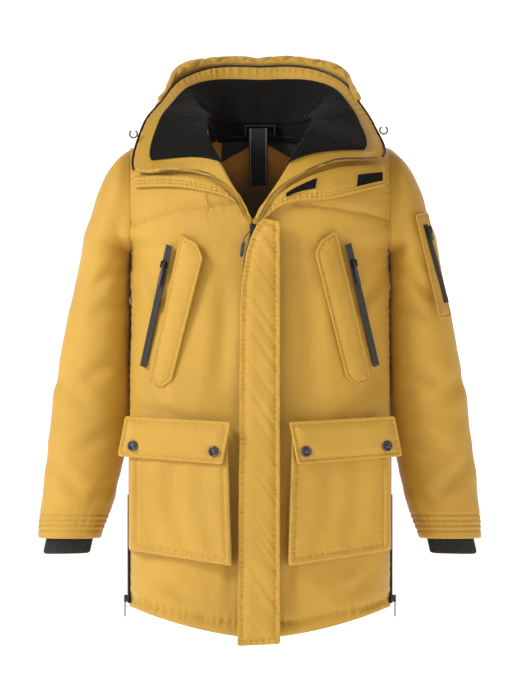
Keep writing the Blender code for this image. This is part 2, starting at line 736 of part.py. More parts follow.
# From the top of the sewn edge round the free edge to the foot of the sewn edge.
CHEST_FLAP_OUTLINE = {
    1: [(0.128, -0.182), (0.103, -0.199), (0.092, -0.221), (0.1445, -0.430), (0.162, -0.445), (0.188, -0.436)],
    -1: [(-0.133, -0.189), (-0.105, -0.205), (-0.095, -0.228), (-0.1475, -0.435), (-0.163, -0.447), (-0.187, -0.438)],
}
SURFACE_CLEARANCE = 0.0015


def add_main_zip():
    seam = [torso_point(ZIP_X, z, 0) for z in spaced(MAIN_ZIP_TOP_Z, MAIN_ZIP_BOTTOM_Z, 9)]
    plane = StandingPlane(1, 0.0, seam, MAIN_CLEARANCE)
    for word, side in SIDES.items():
        near = ZIP_X + side * SEAM_HALF_GAP
        far = ZIP_X + side * MAIN_TAPE_WIDTH
        outline = [(near, MAIN_ZIP_TOP_Z), (far, MAIN_ZIP_TOP_Z),
                   (far, MAIN_ZIP_BOTTOM_Z), (near, MAIN_ZIP_BOTTOM_Z)]
        plate("main_zip_tape_" + word, plane, outline, 0, TAPE, BLACK_FINISH)
    zip_line = ZipLine(plane, (ZIP_X, MAIN_ZIP_TOP_Z), (ZIP_X, MAIN_ZIP_BOTTOM_Z), MAIN_TAPE_WIDTH)
    zip_line.slider("main_zip_slider", TAPE, MAIN_SLIDER_START)
    low = TAPE + SLIDE_GAP + SLIDER_BASE + SLIDER_CHEEK_HEIGHT + PULL_CLEARANCE
    hinge_z = MAIN_ZIP_TOP_Z - MAIN_SLIDER_START - PULL_THICKNESS
    hinge = plane.point(ZIP_X, hinge_z, low + PULL_THICKNESS / 2)
    half = MAIN_PULL_WIDTH / 2
    left = [(ZIP_X + x - half, hinge_z + z) for x, z in MAIN_PULL]
    right = [(ZIP_X + x + half, hinge_z + z) for x, z in reversed(MAIN_PULL)]
    plate("main_zip_pull", plane, left + right, low, low + PULL_THICKNESS, RUBBER_FINISH, hinge)


def add_placket():
    outline = [(x, PLACKET_BACK_Y, z) for x, z in PLACKET_OUTLINE]
    pivot = (PLACKET_HINGE_X, PLACKET_BACK_Y - PLACKET / 2, 0)
    prism("placket", outline, (0, -PLACKET, 0), SHELL_FINISH, pivot)


def add_chest_pockets():
    for word, side in SIDES.items():
        start, end = CHEST_ZIP[side]
        strip = [(x + d, z) for x, z in (start, end) for d in (-CHEST_ZIP_HALF, CHEST_ZIP_HALF)]
        plane = StandingPlane(side, CHEST_ZIP_TURN, chest_samples(strip), SURFACE_CLEARANCE)
        ZipLine(plane, start, end, CHEST_ZIP_HALF).fitted("chest_zip_" + word, CHEST_PULL,
                                                          CHEST_SLIDER_START)
        outline = CHEST_FLAP_OUTLINE[side]
        plane = StandingPlane(side, CHEST_FLAP_TURN, chest_samples(outline), SURFACE_CLEARANCE)
        pivot = plane.point(*outline[0], CHEST_FLAP / 2)
        plate("chest_flap_" + word, plane, outline, 0, CHEST_FLAP, SHELL_FINISH, pivot)


# ---- cargo pockets -----------------------------------------------------
CARGO_TURN = radians(20)
CARGO_ROOM = 0.012         # space between the body and the pocket's front wall
CARGO_WALL = 0.004
CARGO_TOP_Z = -0.510
CARGO_INNER = (0.056, 0.0485)          # x at the top and at the foot of the inner edge
CARGO_OUTER_X = 0.2185
CARGO_FOOT_Z = (-0.745, -0.7205)       # z at the inner and at the outer corner
CARGO_FLARE = 0.0025
CARGO_BASE_GAP = 0.0030
CARGO_FLAP = 0.0045
CARGO_FLAP_GAP = 0.0030
CARGO_FLAP_OUTLINE = [(0.048, -0.504), (0.2265, -0.495), (0.2395, -0.563), (0.062, -0.576)]
SNAP_PLACES = {"inner": (0.0775, -0.554), "outer": (0.2140, -0.5455)}
SNAP_CAP_RADIUS = 0.0090
SNAP_CAP = 0.003
SNAP_STUD_RADIUS = 0.0042
SNAP_STUD = 0.0020
SNAP_SIDES = 20
TOUCH_GAP = 0.0003


def cargo_grid(side, plane, inset, height):
    rows = []
    for u in (-1, 0, 0.3, 0.55, 0.75, 0.88, 0.96, 1, 2):
        row = []
        for v in (-1, 0, 0.5, 1):
            across, rise = min(max(u, 0), 1), max(v, 0)
            inner_x = mix(CARGO_INNER[1], CARGO_INNER[0], rise) + inset
            x = mix(inner_x, CARGO_OUTER_X - inset, across)
            foot = mix(*CARGO_FOOT_Z, across) + inset
            z = mix(foot, CARGO_TOP_Z, rise)
            if u == across and v == rise:
                row.append(plane.point(side * x, z, height))
                continue
            x += CARGO_FLARE * (u - across)
            z += CARGO_FLARE * (v - rise)
            row.append(torso_point(side * x, z, CARGO_BASE_GAP))
        rows.append(row)
    return rows


def disc(name, plane, place, radius, low, high, finish):
    centre = plane.point(*place, low)
    level = Vector((0, 0, 1)).cross(plane.normal).normalized()
    upright = plane.normal.cross(level)
    outline = []
    for k in range(SNAP_SIDES):
        turn = 2 * pi * k / SNAP_SIDES
        outline.append(centre + level * radius * cos(turn) + upright * radius * sin(turn))
    return prism(name, outline, plane.normal * (high - low), finish, centre, smooth=True)


def add_cargo_pockets():
    for word, side in SIDES.items():
        corners = [(side * x, z) for x in (CARGO_INNER[1], CARGO_OUTER_X)
                   for z in (CARGO_TOP_Z, CARGO_FOOT_Z[0])]
        plane = StandingPlane(side, CARGO_TURN, chest_samples(corners), CARGO_ROOM)
        slab("cargo_pocket_" + word, cargo_grid(side, plane, 0, CARGO_WALL),
             cargo_grid(side, plane, CARGO_WALL, 0), SHELL_FINISH, smooth=False)
        flap_low = CARGO_WALL + CARGO_FLAP_GAP
        flap_high = flap_low + CARGO_FLAP
        outline = [(side * x, z) for x, z in CARGO_FLAP_OUTLINE]
        pivot = plane.point(*outline[0], flap_low + CARGO_FLAP / 2)
        plate("cargo_flap_" + word, plane, outline, flap_low, flap_high, SHELL_FINISH, pivot)
        for spot, (x, z) in SNAP_PLACES.items():
            place = (side * x, z)
            stud_low = CARGO_WALL + TOUCH_GAP
            disc(f"snap_stud_{spot}_{word}", plane, place, SNAP_STUD_RADIUS,
                 stud_low, stud_low + SNAP_STUD, SNAP_FINISH)
            cap_low = flap_high + TOUCH_GAP
            disc(f"snap_cap_{spot}_{word}", plane, place, SNAP_CAP_RADIUS,
                 cap_low, cap_low + SNAP_CAP, SNAP_FINISH)


# ---- arm pocket and side zips ------------------------------------------
ARM_TURN = radians(58)
ARM_TILT = radians(13)
ARM_PANEL = 0.003
ARM_PANEL_OUTLINE = [(0.262, -0.155), (0.2835, -0.151), (0.323, -0.327), (0.303, -0.331)]
ARM_ZIP = ((0.2795, -0.172), (0.3155, -0.304))
ARM_PULL = 0.022
SIDE_ZIP_TOP_Z = -0.630
SIDE_ZIP_BOTTOM_Z = -0.814
SIDE_ZIP_HALF = 0.0055
SIDE_PULL = 0.034


def add_arm_pocket():
    samples = [p for ring in sleeve_rings(1, 0) for p in ring if -0.34 < p.z < -0.14]
    plane = StandingPlane(1, ARM_TURN, samples, SURFACE_CLEARANCE, ARM_TILT)
    pivot = (HALF_WIDTH, ARMHOLE_CENTRE_Y, SLEEVE_PIVOT_Z)
    plate("arm_pocket_panel", plane, ARM_PANEL_OUTLINE, 0, ARM_PANEL, SHELL_FINISH, pivot)
    plane.distance += ARM_PANEL + TOUCH_GAP
    ZipLine(plane, *ARM_ZIP, CHEST_ZIP_HALF).fitted("arm_zip", ARM_PULL)


def add_side_zips():
    seam_y = HEM_SHIFT
    for word, side in SIDES.items():
        seam = [(side * HALF_WIDTH, seam_y, SIDE_ZIP_TOP_Z)]
        plane = StandingPlane(side, pi / 2, seam, TOUCH_GAP * 3)
        zip_line = ZipLine(plane, (0, SIDE_ZIP_TOP_Z), (0, SIDE_ZIP_BOTTOM_Z), SIDE_ZIP_HALF)
        zip_line.start = Vector((side * plane.distance, seam_y, SIDE_ZIP_TOP_Z))
        zip_line.end = Vector((side * plane.distance, seam_y, SIDE_ZIP_BOTTOM_Z))
        zip_line.run = Vector((0, 0, -1))
        zip_line.across = zip_line.run.cross(plane.normal)
        length = SIDE_ZIP_TOP_Z - SIDE_ZIP_BOTTOM_Z
        zip_line.fitted("side_zip_" + word, SIDE_PULL, length - SLIDER_LENGTH - TAPE)


# ---- hood cords --------------------------------------------------------
CORD_DIAMETER = 0.003
CORD_LOOP = 0.0065
CORD_PLACE = 0.53


def add_hood_cords():
    for word, side in SIDES.items():
        top = collar_surface(side * CORD_PLACE, 1) + collar_normal(side * CORD_PLACE, 1) * COLLAR
        points = []
        for turn in spaced(radians(60), radians(-240), 15):
            points.append(top + Vector((side * (0.008 + CORD_LOOP * cos(turn)), -0.010,
                                        0.005 + CORD_LOOP * sin(turn))))
        curve = bpy.data.curves.new("hood_cord_" + word, "CURVE")
        curve.dimensions = "3D"
        curve.bevel_depth = CORD_DIAMETER / 2
        curve.bevel_resolution = 2
        curve.use_fill_caps = True
        spline = curve.splines.new("POLY")
        spline.points.add(len(points) - 1)
        for knot, place in zip(spline.points, points):
            knot.co = (*place, 1)
        obj = bpy.data.objects.new("hood_cord_" + word, curve)
        bpy.context.collection.objects.link(obj)
        curve.materials.append(make_material("hood_cord_finish", *BLACK_FINISH))


def move_origin_to_loop():
    """Puts the frame's origin at the underside of the hanger loop."""
    for obj in bpy.data.objects:
        obj.location.y -= LOOP_Y


def build():
    clear_scene()
    add_body()
    add_neck_pieces()
    add_collar()
    add_lapels()
    add_collar_patches()
    add_sleeves()
    add_hood()
    add_main_zip()
    add_placket()
    add_chest_pockets()
    add_cargo_pockets()
    add_arm_pocket()
    add_side_zips()
    add_hood_cords()
    move_origin_to_loop()


build()
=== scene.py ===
from math import cos, pi, radians, sin

import bmesh
import bpy
import numpy as np
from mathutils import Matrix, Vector, noise
from mathutils.geometry import delaunay_2d_cdt


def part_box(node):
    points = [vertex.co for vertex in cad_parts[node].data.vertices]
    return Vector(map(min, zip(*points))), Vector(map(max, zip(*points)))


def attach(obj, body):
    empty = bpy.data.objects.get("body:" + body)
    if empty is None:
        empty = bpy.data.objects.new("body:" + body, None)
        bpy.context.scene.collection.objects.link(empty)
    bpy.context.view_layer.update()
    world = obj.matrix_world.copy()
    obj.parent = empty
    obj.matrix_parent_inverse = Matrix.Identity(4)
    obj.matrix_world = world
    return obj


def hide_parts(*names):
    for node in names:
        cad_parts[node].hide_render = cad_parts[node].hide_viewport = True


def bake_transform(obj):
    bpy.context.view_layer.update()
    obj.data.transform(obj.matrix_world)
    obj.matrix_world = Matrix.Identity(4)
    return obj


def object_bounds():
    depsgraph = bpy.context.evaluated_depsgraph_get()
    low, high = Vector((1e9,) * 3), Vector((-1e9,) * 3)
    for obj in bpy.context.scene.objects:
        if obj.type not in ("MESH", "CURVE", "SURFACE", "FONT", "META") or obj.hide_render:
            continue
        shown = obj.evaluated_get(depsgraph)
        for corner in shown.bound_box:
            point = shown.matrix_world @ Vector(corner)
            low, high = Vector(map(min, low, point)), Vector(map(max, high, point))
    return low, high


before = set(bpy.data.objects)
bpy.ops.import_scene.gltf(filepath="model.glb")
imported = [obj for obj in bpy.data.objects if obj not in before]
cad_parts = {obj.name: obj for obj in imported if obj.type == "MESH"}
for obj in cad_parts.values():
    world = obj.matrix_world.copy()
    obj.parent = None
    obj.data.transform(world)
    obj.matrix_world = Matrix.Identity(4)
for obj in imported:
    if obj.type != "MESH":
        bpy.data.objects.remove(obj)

CAD_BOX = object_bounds()

# Everything below is laid out about the neck point, as the coat was designed, and
# is moved to the hanger loop when it becomes a mesh.
LOOP = np.array((0.0, 0.066, 0.0))
SIDES = {"right": -1, "left": 1}
COAT = "coat"

# ---- sizes of the coat -------------------------------------------------------
FRONT_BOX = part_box("front_panel_left")
HALF_WIDTH = FRONT_BOX[1][0]
ZIP_X = -0.012
HEM_CENTRE_Z = -0.868
HEM_SIDE_Z = -0.818
ARMHOLE_BULGE = 0.018
FRONT_Y = -0.150
BACK_DEPTH_CHEST = 0.115
BACK_DEPTH_HEM = 0.155
HEM_SHIFT = -0.035
FRONT_ROUNDNESS = 2.6
BACK_ROUNDNESS = 2.1
NECK_HALF = 0.090
RIDGE_Y = 0.010
NECK_BACK_Y = 0.078
SHOULDER_TIP_Z = -0.040
SHOULDER_ROUND = 0.130
ARMPIT_Z = -0.217
NECK_CORNER_Z = -0.037
NECK_CORNER_X = {-1: -0.086, 1: 0.073}
VEE_BOTTOM_Z = -0.165
PANEL = 0.009
LINING = 0.003
SEAM_GAP = 0.0005
COLLAR = 0.008
COLLAR_LIE = 0.003
LAPEL = 0.006


# ---- small maths ---------------------------------------------------------------
def mix(a, b, share):
    return a + (b - a) * share


def smoothstep(low, high, value):
    share = np.clip((value - low) / (high - low), 0, 1)
    return share * share * (3 - 2 * share)


def bump(value, width):
    """Soft ridge of height 1 at zero."""
    return np.exp(-(value / width) ** 2)


def unit(vectors):
    return vectors / np.maximum(np.linalg.norm(vectors, axis=-1, keepdims=True), 1e-9)


def along(points, shares):
    """Points at shares of a given line, rounded at its corners."""
    points = np.array(points, float)
    place = np.clip(np.asarray(shares, float), 0, 1) * (len(points) - 1)
    k = np.minimum(place.astype(int), len(points) - 2)
    t = (place - k)[..., None]
    padded = np.vstack([points[:1] * 2 - points[1:2], points, points[-1:] * 2 - points[-2:-1]])
    p0, p1, p2, p3 = (padded[k + n] for n in range(4))
    return 0.5 * (2 * p1 + (p2 - p0) * t + (2 * p0 - 5 * p1 + 4 * p2 - p3) * t ** 2
                  + (3 * p1 - p0 - 3 * p2 + p3) * t ** 3)


def rough(points, size, seed=0.0):
    """Smooth noise, about -1 to 1, with features of a size in metres, or one per axis."""
    scaled = np.asarray(points) / np.array(size) + seed
    flat = scaled.reshape(-1, 3)
    values = np.array([noise.noise(Vector(p)) for p in flat])
    return values.reshape(scaled.shape[:-1])


def near_line(x, z, line):
    """Distance to a flat line of points, and how far along it the nearest place is."""
    best = np.full(np.shape(x), np.inf)
    run = np.zeros(np.shape(x))
    passed = 0.0
    for a, b in zip(line[:-1], line[1:]):
        dx, dz = b[0] - a[0], b[1] - a[1]
        length = max(np.hypot(dx, dz), 1e-9)
        share = np.clip(((x - a[0]) * dx + (z - a[1]) * dz) / length ** 2, 0, 1)
        distance = np.hypot(x - a[0] - share * dx, z - a[1] - share * dz)
        closer = distance < best
        best = np.where(closer, distance, best)
        run = np.where(closer, passed + share * length, run)
        passed += length
    return best, run


def rolled(distance, radius):
    """Drop of a round edge at a distance from the border."""
    share = np.clip(distance / radius, 0, 1)
    return radius * (1 - np.sqrt(1 - (1 - share) ** 2))


def seam_relief(distance, run, deep=0.0025, puff=0.011, pucker=0.0007, pitch=0.012):
    """Quilted valley at a seam, the crease in it, and small gathers beside it."""
    valley = -deep * bump(distance, puff) - 0.0012 * bump(distance, 0.0016)
    wave = np.cos(2 * pi * run / pitch + 2.2 * np.sin(run * 61)) + 0.6 * np.sin(run * 911)
    return valley + pucker * wave * bump(distance, puff * 1.2)


# ---- grids of points -------------------------------------------------------------
def grid_normals(grid, toward=None, wrap=False):
    """Unit normals of a grid, on the side that mostly faces a direction."""
    across = np.gradient(grid, axis=0)
    if wrap:
        down = np.roll(grid, -1, axis=1) - np.roll(grid, 1, axis=1)
    else:
        down = np.gradient(grid, axis=1)
    normals = unit(np.cross(across, down))
    if toward is None:
        outward = grid - grid.mean(axis=1, keepdims=True)
        return normals if (normals * outward).sum() > 0 else -normals
    return normals if (normals @ np.array(toward, float)).mean() > 0 else -normals


def border_distances(grid):
    """Distance from each point to the four borders of its grid."""
    across = np.linalg.norm(np.diff(grid, axis=0), axis=2)
    down = np.linalg.norm(np.diff(grid, axis=1), axis=2)
    first = np.vstack([np.zeros((1, grid.shape[1])), np.cumsum(across, axis=0)])
    second = np.hstack([np.zeros((grid.shape[0], 1)), np.cumsum(down, axis=1)])
    return first, first[-1:] - first, second, second[:, -1:] - second


def edge_distance(grid):
    return np.minimum.reduce(border_distances(grid))


def grid_faces(rows, columns, shift=0, flip=False, wrap=False):
    faces = []
    for i in range(rows - 1):
        for j in range(columns if wrap else columns - 1):
            k = (j + 1) % columns
            face = (shift + i * columns + j, shift + i * columns + k,
                    shift + (i + 1) * columns + k, shift + (i + 1) * columns + j)
            faces.append(face[::-1] if flip else face)
    return faces


# ---- objects -----------------------------------------------------------------------
def add_mesh(name, verts, faces, material, body, replaces=(), tidy=True):
    mesh = bpy.data.meshes.new(name)
    mesh.from_pydata((np.asarray(verts, float) - LOOP).tolist(), [], faces)
    mesh.validate()
    if tidy:
        bm = bmesh.new()
        bm.from_mesh(mesh)
        bmesh.ops.recalc_face_normals(bm, faces=bm.faces)
        bm.to_mesh(mesh)
        bm.free()
    mesh.shade_smooth()
    mesh.materials.append(material)
    obj = bpy.data.objects.new(name, mesh)
    bpy.context.collection.objects.link(obj)
    if isinstance(body, str):
        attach(obj, body)
    else:
        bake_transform(obj)
    if replaces:
        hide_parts(*replaces)
    return obj


def slab(name, outer, inner, material, body, replaces=()):
    """Closed sheet between two equal grids of points."""
    rows, columns = outer.shape[:2]
    total = rows * columns
    verts = np.vstack([outer.reshape(-1, 3), inner.reshape(-1, 3)])
    faces = grid_faces(rows, columns) + grid_faces(rows, columns, total, flip=True)
    loop = [i * columns for i in range(rows - 1)]
    loop += [(rows - 1) * columns + j for j in range(columns - 1)]
    loop += [i * columns + columns - 1 for i in range(rows - 1, 0, -1)]
    loop += list(range(columns - 1, 0, -1))
    for a, b in zip(loop, loop[1:] + loop[:1]):
        faces.append((a, b, b + total, a + total))
    return add_mesh(name, verts, faces, material, body, replaces)


def tube(name, outer, inner, material, body, replaces=()):
    """Closed tube wall between two stacks of rings."""
    rows, columns = outer.shape[:2]
    total = rows * columns
    verts = np.vstack([outer.reshape(-1, 3), inner.reshape(-1, 3)])
    faces = grid_faces(rows, columns, wrap=True)
    faces += grid_faces(rows, columns, total, flip=True, wrap=True)
    for row in (0, rows - 1):
        for j in range(columns):
            a, b = row * columns + j, row * columns + (j + 1) % columns
            faces.append((a, b, b + total, a + total))
    return add_mesh(name, verts, faces, material, body, replaces)


# ---- materials ---------------------------------------------------------------------
class Finish:
    """Small builder for a node material over one Principled shader."""

    def __init__(self, name, roughness, metallic=0.0, sheen=0.0, coat=0.0):
        self.material = bpy.data.materials.new(name)
        self.material.use_nodes = True
        self.nodes = self.material.node_tree.nodes
        self.links = self.material.node_tree.links
        self.shader = self.nodes["Principled BSDF"]
        self.shader.inputs["Roughness"].default_value = roughness
        self.shader.inputs["Metallic"].default_value = metallic
        self.shader.inputs["Sheen Weight"].default_value = sheen
        self.shader.inputs["Sheen Roughness"].default_value = 0.4
        self.shader.inputs["Coat Weight"].default_value = coat
        self.place = self.nodes.new("ShaderNodeTexCoord").outputs["Object"]
        self.height = None

    def noise(self, scale, detail=3.0, stretch=(1, 1, 1)):
        mapping = self.nodes.new("ShaderNodeMapping")
        mapping.inputs["Scale"].default_value = stretch
        texture = self.nodes.new("ShaderNodeTexNoise")
        texture.inputs["Scale"].default_value = scale
        texture.inputs["Detail"].default_value = detail
        self.links.new(self.place, mapping.inputs["Vector"])
        self.links.new(mapping.outputs["Vector"], texture.inputs["Vector"])
        return texture.outputs["Fac"]

    def wave(self, scale, direction):
        texture = self.nodes.new("ShaderNodeTexWave")
        texture.bands_direction = direction
        texture.inputs["Scale"].default_value = scale
        texture.inputs["Distortion"].default_value = 0.6
        texture.inputs["Detail"].default_value = 1.0
        self.links.new(self.place, texture.inputs["Vector"])
        return texture.outputs["Fac"]

    def ramp(self, value, stops):
        ramp = self.nodes.new("ShaderNodeValToRGB")
        elements = ramp.color_ramp.elements
        while len(elements) < len(stops):
            elements.new(0.5)
        for element, (position, colour) in zip(elements, stops):
            element.position = position
            element.color = (*colour, 1)
        self.links.new(value, ramp.inputs["Fac"])
        return ramp.outputs["Color"]

    def colour(self, value, low, high, spread=(0.3, 0.7)):
        found = self.ramp(value, [(spread[0], low), (spread[1], high)])
        self.links.new(found, self.shader.inputs["Base Color"])

    def roughness(self, value, low, high):
        found = self.ramp(value, [(0.3, (low,) * 3), (0.7, (high,) * 3)])
        self.links.new(found, self.shader.inputs["Roughness"])

    def raise_by(self, value, strength, distance):
        """Adds a layer of bumps over those already there."""
        node = self.nodes.new("ShaderNodeBump")
        node.inputs["Strength"].default_value = strength
        node.inputs["Distance"].default_value = distance
        self.links.new(value, node.inputs["Height"])
        if self.height is not None:
            self.links.new(self.height, node.inputs["Normal"])
        self.height = node.outputs["Normal"]
        self.links.new(self.height, self.shader.inputs["Normal"])

    def woven(self, threads_per_metre, strength, distance=0.0004):
        """Plain weave: ribs one way and the other."""
        scale = 0.314 * threads_per_metre
        for direction in ("X", "Z"):
            self.raise_by(self.wave(scale, direction), strength, distance)


def fabric(name, dark, light, roughness, threads, weave=0.25, sheen=0.15):
    finish = Finish(name, roughness, sheen=sheen)
    finish.colour(finish.noise(9, 5), dark, light)
    finish.woven(threads, weave)
    finish.raise_by(finish.noise(170, 4), 0.22, 0.0012)
    finish.raise_by(finish.noise(38, 3, (1, 1, 0.6)), 0.25, 0.004)
    return finish.material


def shaded_lining():
    """Amber lining that turns grey-brown below the shoulders."""
    finish = Finish("amber_lining", 0.5, sheen=0.1)
    axes = finish.nodes.new("ShaderNodeSeparateXYZ")
    finish.links.new(finish.place, axes.inputs["Vector"])
    height = finish.nodes.new("ShaderNodeMapRange")
    height.inputs["From Min"].default_value = -0.16
    height.inputs["From Max"].default_value = -0.04
    finish.links.new(axes.outputs["Z"], height.inputs["Value"])
    amber, brown = (0.62, 0.25, 0.035), (0.15, 0.105, 0.06)
    found = finish.ramp(height.outputs["Result"], [(0.35, brown), (0.75, amber)])
    finish.links.new(found, finish.shader.inputs["Base Color"])
    finish.woven(2600, 0.25)
    finish.raise_by(finish.noise(60, 3), 0.3, 0.003)
    return finish.material


def pile_fabric():
    finish = Finish("fleece_pile", 1.0, sheen=0.03)
    finish.shader.inputs["Specular IOR Level"].default_value = 0.15
    finish.colour(finish.noise(420, 6), (0.004, 0.004, 0.004), (0.012, 0.0105, 0.011))
    finish.raise_by(finish.noise(700, 6), 0.8, 0.0015)
    finish.raise_by(finish.noise(190, 4), 0.5, 0.003)
    return finish.material


def knit_fabric():
    finish = Finish("rib_knit", 0.9, sheen=0.25)
    finish.colour(finish.noise(300, 4), (0.008, 0.008, 0.009), (0.02, 0.02, 0.022))
    finish.raise_by(finish.wave(260, "Z"), 0.6, 0.0008)
    finish.raise_by(finish.noise(900, 3), 0.4, 0.0006)
    return finish.material


def coated_tape():
    finish = Finish("coated_zip_tape", 0.45, coat=0.08)
    finish.colour(finish.noise(150, 3), (0.006, 0.006, 0.007), (0.012, 0.012, 0.013))
    finish.roughness(finish.noise(220, 4), 0.38, 0.58)
    finish.raise_by(finish.noise(900, 3), 0.25, 0.0004)
    return finish.material


def moulded_rubber():
    finish = Finish("moulded_rubber", 0.5)
    finish.colour(finish.noise(60, 3), (0.022, 0.022, 0.025), (0.05, 0.05, 0.055))
    finish.roughness(finish.noise(300, 3), 0.4, 0.6)
    finish.raise_by(finish.wave(900, "Z"), 0.35, 0.0005)
    return finish.material


def worn_metal(name, dark, light):
    finish = Finish(name, 0.35, metallic=1.0)
    finish.colour(finish.noise(260, 5), dark, light)
    finish.roughness(finish.noise(400, 5), 0.22, 0.5)
    finish.raise_by(finish.noise(1400, 3), 0.15, 0.0003)
    return finish.material


def stitch_thread(name, dark, light):
    finish = Finish(name, 0.5, sheen=0.2)
    finish.colour(finish.noise(500, 2), dark, light)
    finish.raise_by(finish.wave(1800, "X"), 0.5, 0.0003)
    return finish.material


def label_weave():
    """Plain black woven label with a thin pale stripe along each edge."""
    finish = Finish("woven_label", 0.6, sheen=0.1)
    axes = finish.nodes.new("ShaderNodeSeparateXYZ")
    finish.links.new(finish.place, axes.inputs["Vector"])
    low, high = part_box("neck_label")
    centre, half = (low[0] + high[0]) / 2, (high[0] - low[0]) / 2
    shifted = finish.nodes.new("ShaderNodeMath")
    shifted.operation = "SUBTRACT"
    shifted.inputs[1].default_value = centre
    finish.links.new(axes.outputs["X"], shifted.inputs[0])
    distance = finish.nodes.new("ShaderNodeMath")
    distance.operation = "ABSOLUTE"
    finish.links.new(shifted.outputs[0], distance.inputs[0])
    share = finish.nodes.new("ShaderNodeMath")
    share.operation = "DIVIDE"
    share.inputs[1].default_value = half
    finish.links.new(distance.outputs[0], share.inputs[0])
    black, pale = (0.010, 0.010, 0.011), (0.22, 0.22, 0.215)
    found = finish.ramp(share.outputs[0], [(0.0, black), (0.78, black), (0.80, pale),
                                           (0.88, pale), (0.90, black)])
    finish.links.new(found, finish.shader.inputs["Base Color"])
    finish.woven(1600, 0.4)
    return finish.material


SHELL = fabric("mustard_taslan", (0.465, 0.266, 0.026), (0.530, 0.308, 0.034), 0.58, 1500)
LINING_CLOTH = shaded_lining()
PALE_LINING = fabric("grey_brown_lining", (0.16, 0.12, 0.09), (0.21, 0.16, 0.12), 0.6, 2600)
BLACK_TAPE = fabric("black_tape", (0.010, 0.010, 0.011), (0.02, 0.02, 0.021), 0.6, 2200, 0.5)
FLEECE_CLOTH = pile_fabric()
KNIT_CLOTH = knit_fabric()
ZIP_TAPE = coated_tape()
RUBBER = moulded_rubber()
GUNMETAL = worn_metal("gunmetal", (0.045, 0.045, 0.06), (0.11, 0.11, 0.14))
SLIDER_METAL = worn_metal("black_plated_slider", (0.02, 0.02, 0.022), (0.06, 0.06, 0.065))
THREAD = stitch_thread("mustard_thread", (0.36, 0.175, 0.025), (0.47, 0.24, 0.035))
BLACK_THREAD = stitch_thread("black_thread", (0.01, 0.01, 0.01), (0.03, 0.03, 0.03))
HOOK_CLOTH = pile_fabric()


# ---- camera, light and stage ---------------------------------------------------------
def add_camera():
    data = bpy.data.cameras.new("camera")
    data.lens = 300
    data.sensor_width = 36
    camera = bpy.data.objects.new("camera", data)
    camera.location = (0, -9.93, -0.379)
    camera.rotation_euler = (radians(90), 0, 0)
    bpy.context.collection.objects.link(camera)
    bpy.context.scene.camera = camera
    bpy.context.scene.view_settings.view_transform = "Standard"


def area_light(name, place, aim, size, power, colour=(1, 1, 1)):
    data = bpy.data.lights.new(name, "AREA")
    data.shape = "DISK"
    data.size = size
    data.energy = power
    data.color = colour
    light = bpy.data.objects.new(name, data)
    light.location = place
    light.rotation_euler = (Vector(aim) - Vector(place)).to_track_quat("-Z", "Y").to_euler()
    bpy.context.collection.objects.link(light)


def add_stage():
    """Pale round floor that curves up into a low wall."""
    finish = Finish("pale_stage", 0.9)
    finish.shader.inputs["Base Color"].default_value = (0.93, 0.93, 0.93, 1)
    finish.shader.inputs["Emission Color"].default_value = (1, 1, 1, 1)
    finish.shader.inputs["Emission Strength"].default_value = 0.70
    section = [(9.0, 0.0), (17.0, 0.0), (18.6, 0.25), (19.6, 1.0), (20.0, 2.2), (20.0, 4.5)]
    low = CAD_BOX[0][2] - 0.12
    turns = np.linspace(0, 2 * pi, 64, endpoint=False)
    verts = [(r * cos(turn), r * sin(turn), low + z) for r, z in section for turn in turns]
    faces = grid_faces(len(section), 64, wrap=True) + [tuple(range(64))]
    mesh = bpy.data.meshes.new("stage")
    mesh.from_pydata(verts, [], faces)
    bm = bmesh.new()
    bm.from_mesh(mesh)
    bmesh.ops.recalc_face_normals(bm, faces=bm.faces)
    bm.to_mesh(mesh)
    bm.free()
    mesh.shade_smooth()
    mesh.materials.append(finish.material)
    stage = bpy.data.objects.new("stage", mesh)
    bpy.context.collection.objects.link(stage)
    world = bpy.data.worlds.new("studio")
    world.use_nodes = True
    world.node_tree.nodes["Background"].inputs["Color"].default_value = (1, 0.85, 0.66, 1)
    world.node_tree.nodes["Background"].inputs["Strength"].default_value = 0.32
    bpy.context.scene.world = world
    area_light("key", (-2.9, -2.0, 1.6), (0, 0, -0.35), 1.3, 114)
    area_light("fill", (2.2, -2.6, -0.6), (0, 0, -0.4), 2.0, 9, (1, 0.60, 0.25))
    area_light("rim", (0.6, 2.2, 2.0), (0, 0, -0.2), 1.6, 30)


# ---- torso surface -----------------------------------------------------------------
def section_centre(z):
    return HEM_SHIFT * smoothstep(-0.25, -0.62, z)


def section_half_width(z):
    return HALF_WIDTH + ARMHOLE_BULGE * smoothstep(ARMPIT_Z + 0.002, ARMPIT_Z + 0.03, z)


def ridge_z(x):
    return SHOULDER_TIP_Z * np.maximum(np.abs(x) - NECK_HALF, 0) / (HALF_WIDTH - NECK_HALF)


def ridge_y(x, facing):
    if facing < 0:
        return RIDGE_Y + 0 * x
    share = np.clip(np.abs(x) / NECK_HALF, 0, 1)
    return RIDGE_Y + (NECK_BACK_Y - RIDGE_Y) * np.sqrt(1 - share ** 2)


def torso_y(x, z, facing):
    """Outer surface of the body; facing is -1 for the front and 1 for the back."""
    centre = section_centre(z)
    across = np.minimum(np.abs(x) / section_half_width(z), 1)
    if facing < 0:
        depth, roundness = centre - FRONT_Y, FRONT_ROUNDNESS
    else:
        depth = mix(BACK_DEPTH_CHEST, BACK_DEPTH_HEM, smoothstep(-0.2, -0.6, z))
        roundness = BACK_ROUNDNESS
    low = centre + facing * depth * (1 - across ** roundness) ** (1 / roundness)
    drop = np.clip((ridge_z(x) - z) / SHOULDER_ROUND, 0, 1)
    return mix(ridge_y(x, facing), low, np.sqrt(1 - (1 - drop) ** 2))


